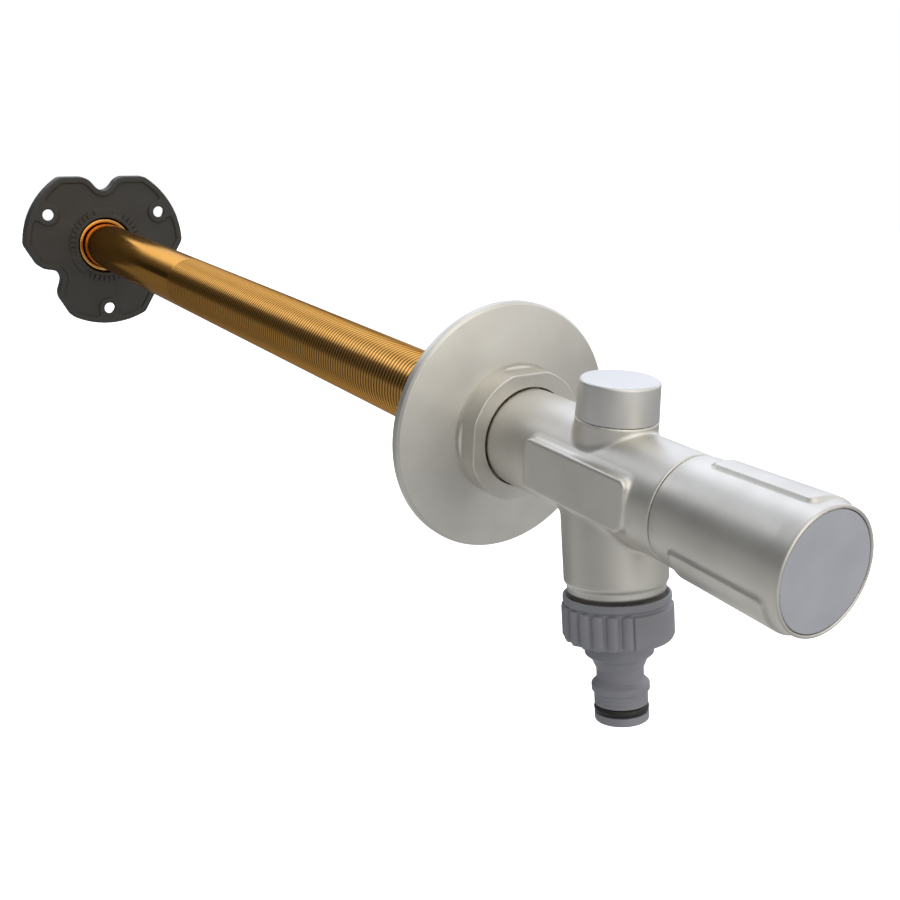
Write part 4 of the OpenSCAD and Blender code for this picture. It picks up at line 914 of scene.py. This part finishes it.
def union_nut():
    """The union nut, with its ribs set round it in two groups."""
    body = skin("union_nut_body", union_field, (-18, -83.5, -52), (18, -42.5, -29), 0.32)
    dress(body, "union_grey", "union", "hose_nut")
    rib = rounded([(-37.6, 0, 0), (-37.6, 2.05, 1.7), (-46.9, 2.05, 0.5), (-48.05, 1.45, 0.4), (-48.05, 0, 0)])
    profile = [(r, h) for h, r in rib]
    bar = turned("rib", profile,
                 lambda r, t, h: np.stack([RIB_FOOT_R + r * np.cos(t), r * np.sin(t), h], -1), 28)
    first = RIB_ANGLE - (RIBS - 1) / 2 * RIB_STEP
    ribs = ring_of("union_nut_ribs", bar, "union_grey", RIB_STEP, ((first, RIBS), (first + 180, RIBS)))
    dress(move_points(ribs, from_spout), "union_grey", "union")


# Hose nipple: radius, height on the spout's axis and corner radius. Flange, shoulder, waist, catch and barrel
NIPPLE_OUTLINE = [
    (4.4, -44.5, 0), (12.85, -44.5, 0), (12.85, -46.3, 0), (10.2, -46.3, 0), (10.2, -52.9, 0.5),
    (8.35, -54.5, 0.6), (7.0, -57.6, 3.0), (7.0, -60.7, 0.9), (8.6, -62.3, 0.5), (8.6, -64.2, 0.3),
    (7.95, -64.55, 0.2), (7.95, -65.9, 0.1), (7.85, -66.0, 0.05), (7.85, -66.25, 0.05), (7.95, -66.35, 0.1),
    (7.95, -67.0, 0.1), (7.85, -67.1, 0.05), (7.85, -67.35, 0.05), (7.95, -67.45, 0.1),
    (7.95, -68.4, 0.15), (5.7, -68.4, 0), (5.7, -71.0, 0), (8.05, -71.0, 0.15),
    (8.05, -73.6, 0.6), (4.4, -73.6, 0.3)]
SEAL_RING_R = 6.95
SEAL_RING_HEIGHT = -69.7
SEAL_WIRE_R = 1.2


def hose_nipple():
    """The quick connector nipple in grey plastic."""
    nipple = turned("hose_nipple_body", rounded(NIPPLE_OUTLINE), down_spout)
    return dress(nipple, "union_grey", "nipple", "hose_nipple")


def nipple_ring():
    """The nipple's black sealing ring."""
    turns = np.radians(np.linspace(0, 360, 25))[:-1]
    outline = [(SEAL_RING_R + SEAL_WIRE_R * math.cos(t), SEAL_RING_HEIGHT + SEAL_WIRE_R * math.sin(t))
               for t in turns]
    return dress(turned("nipple_seal_ring", outline, down_spout, 96), "rubber", "nipple", "nipple_o_ring")


# Check valve's spring: depths down the spout's axis
CAGE_FLOOR = 40.5
POPPET_LOW = 35.4
COIL_R = 3.0
WIRE_R = 0.3
COIL_TURNS = 3.5
COIL_STEPS = 84
WIRE_SIDES = 8


def poppet_spring():
    """The check valve's spring, a steel coil from the cage's floor up to the poppet."""
    end_gap = WIRE_R + FIT_GAP
    along = np.linspace(0, 1, COIL_STEPS + 1)[:, None]
    round_wire = np.linspace(0, 2 * math.pi, WIRE_SIDES, endpoint=False)[None]
    turn = 2 * math.pi * COIL_TURNS * along
    height = -CAGE_FLOOR + end_gap + (CAGE_FLOOR - POPPET_LOW - 2 * end_gap) * along
    points = down_spout(COIL_R + WIRE_R * np.cos(round_wire), turn, height + WIRE_R * np.sin(round_wire))
    faces = []
    for ring in range(0, COIL_STEPS * WIRE_SIDES, WIRE_SIDES):
        for side in range(WIRE_SIDES):
            beside = (side + 1) % WIRE_SIDES
            faces.append((ring + side, ring + WIRE_SIDES + side, ring + WIRE_SIDES + beside, ring + beside))
    faces.append(tuple(range(WIRE_SIDES)))
    faces.append(tuple(reversed(range(COIL_STEPS * WIRE_SIDES, (COIL_STEPS + 1) * WIRE_SIDES))))
    coil = make_piece("poppet_spring", points.reshape(-1, 3), faces, 60.0)
    dress(coil, "steel", "tap", "check_spring")
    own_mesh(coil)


# Mounting plate
PLATE_R = 48.4
PLATE_FLAT = 41.2
BOLT_R = 39.0
BOLT_HOLE_R = 3.3
BOSS_R = 6.5
BOSS_RECESS_R = 5.2
BOSS_SKIN = 1.6
LOBES = (30.0, 150.0, 270.0)
NOTCHES = (90.0, 210.0, 330.0)
NOTCH_R = 5.1
NOTCH_OUT = 38.3
BORDER = 3.4
POCKET = 1.3
WALL = 2.6
BACK_FLOOR = 2.0
HUB_R = 24.0
HOLE_R = 16.8
RIM_R = 19.0
SIGN_R = 20.65
ARC_MIDDLES = (92.0, 213.0, 333.0)
ARC_HALF_LEN = 5.6
ARC_HALF_WIDE = 1.65
FAR = 1e3


def plate_field(x, y, z):
    """The mounting plate: three lobes with notches between, border, pockets, bosses and the raised arcs."""
    from_axis = np.hypot(x, z)
    plan = from_axis - PLATE_R
    ways = [(math.cos(a), math.sin(a)) for a in np.radians(NOTCHES)]
    for c, s in ways:
        plan = blend_cut(plan, x * c + z * s - PLATE_FLAT, 0.9)
    for c, s in ways:
        notch = np.hypot(z * c - x * s, np.minimum(x * c + z * s - NOTCH_OUT, 0)) - NOTCH_R
        plan = blend_cut(plan, -notch, 8.5)
    bosses = np.full(x.shape, FAR)
    holes = np.full(x.shape, FAR)
    for a in np.radians(LOBES):
        from_bolt = np.hypot(x - BOLT_R * math.cos(a), z - BOLT_R * math.sin(a))
        bosses = np.minimum(bosses, from_bolt - BOSS_R)
        behind = np.maximum(from_bolt - BOSS_RECESS_R, between(y, PLATE_FRONT + BOSS_SKIN, PLATE_BACK + 2))
        holes = np.minimum(holes, np.minimum(from_bolt - BOLT_HOLE_R, behind))
    raised = blend_union(-(plan + BORDER), bosses, 4.0)
    slab = blend_cut(plan, between(y, PLATE_FRONT, PLATE_BACK), 0.45)
    pocket = blend_cut(-raised, between(y, PLATE_FRONT - 9, PLATE_FRONT + POCKET), 0.35)
    solid = blend_cut(slab, -pocket, 0.3)
    turn = np.degrees(np.arctan2(z, x))
    signs = between(from_axis, SPIGOT_R, RIM_R)
    for middle in ARC_MIDDLES:
        away = np.abs((turn - middle + 180) % 360 - 180)
        signs = np.minimum(signs, rounded_rectangle(
            np.radians(away) * SIGN_R, from_axis - SIGN_R, ARC_HALF_LEN, ARC_HALF_WIDE, 0.4))
    signs = blend_cut(signs, between(y, PLATE_FRONT + POCKET - 1, PLATE_FRONT + 3), 0.2)
    solid = np.minimum(solid, signs)
    hollow = blend_cut(plan + WALL, between(y, PLATE_BACK - BACK_FLOOR, PLATE_BACK + 9), 0.4)
    hollow = np.maximum(np.maximum(hollow, HUB_R - from_axis), -bosses)
    solid = blend_cut(solid, -hollow, 0.3)
    return blend_cut(solid, -np.minimum(holes, from_axis - HOLE_R), 0.3)


def mounting_plate():
    """The mounting plate in black plastic."""
    plate = skin("mounting_plate_body", plate_field,
                 (-49.6, PLATE_FRONT - 1, -49.6), (49.6, PLATE_BACK + 1, 43), 0.5)
    return dress(plate, "black_plastic", "tap", "mounting_plate")


# Marks on the plate: half width, inner and outer edge from SIGN_R, height, spacing, and each group's
# first angle and count
MARK_HALF_WIDE = 0.95
MARK_INNER = -1.6
MARK_OUTER = 1.5
MARK_HIGH = 1.1
MARK_STEP = 8.4
MARK_GROUPS = ((118.0, 9), (242.0, 7), (10.0, 6))


def plate_marks():
    """Plain short marks round the plate's hole, between the raised arcs."""
    mark = rounded([(-MARK_HALF_WIDE, MARK_INNER, 0.3), (MARK_HALF_WIDE, MARK_INNER, 0.3),
                    (MARK_HALF_WIDE, MARK_OUTER, 0.3), (-MARK_HALF_WIDE, MARK_OUTER, 0.3)], 2)
    count = len(mark)
    points = [(SIGN_R + v, u, h) for h in (0.0, MARK_HIGH) for u, v in mark]
    faces = [(i, (i + 1) % count, count + (i + 1) % count, count + i) for i in range(count)]
    faces += [tuple(range(count)), tuple(range(count, 2 * count))]
    bar = face_outwards(make_piece("mark", points, faces, 30))
    marks = ring_of("plate_index_marks", bar, "black_plastic", MARK_STEP, MARK_GROUPS)
    front = PLATE_FRONT + POCKET + 0.1
    move_points(marks, lambda p: np.stack([p[:, 0], front - p[:, 2], p[:, 1]], 1))
    return dress(face_outwards(marks), "black_plastic", "tap")


wall_tube()
inlet_fitting()
valve_body()
handle_shell()
end_disc()
collar_nut()
escutcheon()
vent_cap()
union_nut()
hose_nipple()
nipple_ring()
poppet_spring()
mounting_plate()
plate_marks()


# Studio

# The photograph's viewpoint: place and lens in millimetres, yaw, pitch and roll in degrees
CAMERA_PLACE = (-211.686, -287.652, 107.538)
CAMERA_TURNS = (33.752, -18.150, 2.306)
CAMERA_LENS = 45.642
CAMERA_SENSOR = 36.0


def camera():
    """The camera at the photograph's viewpoint."""
    yaw, pitch, roll = (math.radians(a) for a in CAMERA_TURNS)
    ahead = Vector((math.sin(yaw) * math.cos(pitch), math.cos(yaw) * math.cos(pitch), math.sin(pitch)))
    right = Vector((math.cos(yaw), -math.sin(yaw), 0))
    up = right.cross(ahead)
    right, up = (right * math.cos(roll) + up * math.sin(roll), up * math.cos(roll) - right * math.sin(roll))
    data = bpy.data.cameras.new("camera")
    data.sensor_width = CAMERA_SENSOR
    data.lens = CAMERA_LENS
    data.clip_start = 0.01
    eye = bpy.data.objects.new("camera", data)
    turn = Matrix((right, up, -ahead)).transposed().to_4x4()
    eye.matrix_world = Matrix.Translation(Vector(CAMERA_PLACE) * MM) @ turn
    bpy.context.scene.collection.objects.link(eye)
    bpy.context.scene.camera = eye


def lamp(name, place, aim, size, power, color):
    """A soft rectangular lamp that faces a point. Its place and size are in metres, its power in watts."""
    data = bpy.data.lights.new(name, "AREA")
    data.shape = "RECTANGLE"
    data.size, data.size_y = size
    data.energy = power
    data.color = srgb(color)[:3]
    light = bpy.data.objects.new(name, data)
    light.location = place
    light.rotation_euler = (Vector(aim) - Vector(place)).to_track_quat("-Z", "Y").to_euler()
    bpy.context.scene.collection.objects.link(light)


# What the metal sees of the room: tones from -1 to 1 along the direction that sky() gives each table
ROOM_STRENGTH = 1.7
LOW_BACK = [
    (-1, "#949494"), (0, "#a0a0a0"), (0.35, "#a7a7a7"), (0.62, "#9a9a9a"), (0.74, "#858585"), (0.8, "#757575"),
    (0.87, "#636363"), (1, "#636363")]
LOW_FRONT = [
    (-1, "#7c7c7c"), (-0.8, "#8b8b8b"), (-0.65, "#a0a0a0"), (-0.5, "#aeaeae"), (-0.4, "#acacac"),
    (-0.25, "#8b8b8b"), (-0.1, "#7c7c7c"), (1, "#7c7c7c")]
BACK_LEFT = [
    (-1, "#141414"), (0.02, "#1c1c1c"), (0.1, "#3d3d3d"), (0.2, "#545454"), (0.27, "#8d8d8d"),
    (0.31, "#d7dae0"), (0.36, "#edf0f8"), (0.44, "#f4f7ff"), (0.5, "#edf0f8"), (0.57, "#919398"),
    (0.64, "#6f7074"), (0.7, "#6f7074"), (0.8, "#86888c"), (1, "#919398")]
BACK_CORNER = [
    (-1, "#545454"), (0.15, "#545454"), (0.3, "#57595c"), (0.5, "#5a5b5e"), (0.75, "#727478"), (1, "#8a8c90")]
BACK_MIDDLE = [
    (-1, "#454545"), (0.2, "#4e4e4e"), (0.27, "#656565"), (0.32, "#acacac"), (0.38, "#dee2e8"),
    (0.45, "#e9eefc"), (0.7, "#dae0ec"), (1, "#bdc0c5")]
BACK_RIGHT = [
    (-1, "#8d8d8d"), (-0.05, "#a0a0a0"), (0.05, "#b9bec9"), (0.15, "#d7dce8"), (0.25, "#e9eefc"),
    (0.35, "#e9eefc"), (0.55, "#dee3f0"), (0.75, "#c7cbd7"), (1, "#a9abb0")]
HIGH_FRONT = [
    (-1, "#727478"), (-0.75, "#7f7f7f"), (-0.5, "#cbc9c5"), (-0.3, "#f2f0ec"), (0, "#f9f7f3"), (0.3, "#e0deda"),
    (0.6, "#c6c4c1"), (1, "#bcbcbc")]
LOW_SIDE = "#848484"
LOW_DEEP = "#a3a3a3"
LEFT_TILT = 0.35
MIDDLE_SHIFT = 0.8


def wall_tones(tree, way, tones):
    """One wall of the room: its tones from -1 to 1 along a direction."""
    share = add(tree, "ShaderNodeMapRange", {"Value": way, "From Min": -1.0, "From Max": 1.0})
    node = add(tree, "ShaderNodeValToRGB", {"Fac": share})
    elements = node.color_ramp.elements
    while len(elements) < len(tones):
        elements.new(0.5)
    for element, (spot, code) in zip(elements, tones):
        element.position = (spot + 1) / 2
        element.color = srgb(code)
    return node.outputs["Color"]


def soft_corner(tree, way, start, end, near, far):
    """Where two walls meet: near fades into far as the direction goes from start to end."""
    share = add(tree, "ShaderNodeMapRange", {
        "Value": way, "From Min": start, "From Max": end}, interpolation_type="SMOOTHSTEP")
    return add(tree, "ShaderNodeMix", {0: share, 6: near, 7: far}, data_type="RGBA").outputs[2]


def sky():
    """White to the camera. Metal sees a room: bright walls over a dark band behind the tap, a dark corner at
    the left, grey sides below and a bright wall in front."""
    world = bpy.data.worlds.new("studio")
    bpy.context.scene.world = world
    world.use_nodes = True
    tree = world.node_tree
    tree.nodes.clear()
    way = add(tree, "ShaderNodeTexCoord").outputs["Generated"]
    x, y, z = add(tree, "ShaderNodeSeparateXYZ", {"Vector": way}).outputs
    leaned = add(tree, "ShaderNodeMath", {0: x, 1: LEFT_TILT}, operation="MULTIPLY")
    lift = add(tree, "ShaderNodeMath", {0: z, 1: leaned}, operation="ADD")
    shifted = add(tree, "ShaderNodeMath", {0: y, 1: MIDDLE_SHIFT}, operation="SUBTRACT")
    rise = add(tree, "ShaderNodeMath", {0: z, 1: shifted}, operation="ADD")
    aside = add(tree, "ShaderNodeMath", {0: x}, operation="ABSOLUTE")

    high = wall_tones(tree, lift, BACK_LEFT)
    high = soft_corner(tree, x, -0.1, 0.3, high, wall_tones(tree, rise, BACK_MIDDLE))
    high = soft_corner(tree, x, 0.5, 0.65, high, wall_tones(tree, z, BACK_RIGHT))
    high = soft_corner(tree, x, -0.4, -0.62, high, wall_tones(tree, z, BACK_CORNER))
    high = soft_corner(tree, y, 0.35, -0.25, high, wall_tones(tree, x, HIGH_FRONT))
    low = soft_corner(tree, z, -0.46, -0.62, wall_tones(tree, y, LOW_BACK), srgb(LOW_DEEP))
    low = soft_corner(tree, y, 0.35, -0.25, low, wall_tones(tree, z, LOW_FRONT))
    low = soft_corner(tree, aside, 0.6, 0.9, low, srgb(LOW_SIDE))
    room = soft_corner(tree, z, -0.015, 0.015, low, high)

    light = add(tree, "ShaderNodeBackground", {"Color": room, "Strength": ROOM_STRENGTH})
    white = add(tree, "ShaderNodeBackground", {"Color": (1, 1, 1, 1), "Strength": 1.0})
    seen = add(tree, "ShaderNodeLightPath").outputs["Is Camera Ray"]
    mixed = add(tree, "ShaderNodeMixShader", {0: seen, 1: light, 2: white})
    add(tree, "ShaderNodeOutputWorld", {"Surface": mixed})


FLOOR_HEIGHT = -0.45
FLOOR_HALF = 4.0
FLOOR_GLOW = 0.75


def floor():
    """A pale floor far below, white to the camera. The metal sees the room's lower half in its place."""
    mesh = bpy.data.meshes.new("floor")
    corners = [(-1, -1), (1, -1), (1, 1), (-1, 1)]
    mesh.from_pydata([(u * FLOOR_HALF, v * FLOOR_HALF, FLOOR_HEIGHT) for u, v in corners], [], [(0, 1, 2, 3)])
    piece = bpy.data.objects.new("floor", mesh)
    bpy.context.scene.collection.objects.link(piece)
    material = bpy.data.materials.new("pale_floor")
    material.use_nodes = True
    tree = material.node_tree
    tree.nodes.clear()
    pale = add(tree, "ShaderNodeBsdfDiffuse", {"Color": srgb("#e6e6e6")})
    glow = add(tree, "ShaderNodeEmission", {"Color": (1, 1, 1, 1), "Strength": FLOOR_GLOW})
    lit = add(tree, "ShaderNodeAddShader", {0: pale, 1: glow})
    clear = add(tree, "ShaderNodeBsdfTransparent")
    seen = add(tree, "ShaderNodeLightPath").outputs["Is Camera Ray"]
    mixed = add(tree, "ShaderNodeMixShader", {0: seen, 1: clear, 2: lit})
    add(tree, "ShaderNodeOutputMaterial", {"Surface": mixed})
    mesh.materials.append(material)


camera()
sky()
floor()
lamp("back_softbox", (0.15, 0.9, 1.2), (0, 0, 0), (1.6, 1.2), 2.0, "#edf3ff")
bpy.context.scene.view_settings.view_transform = "Standard"
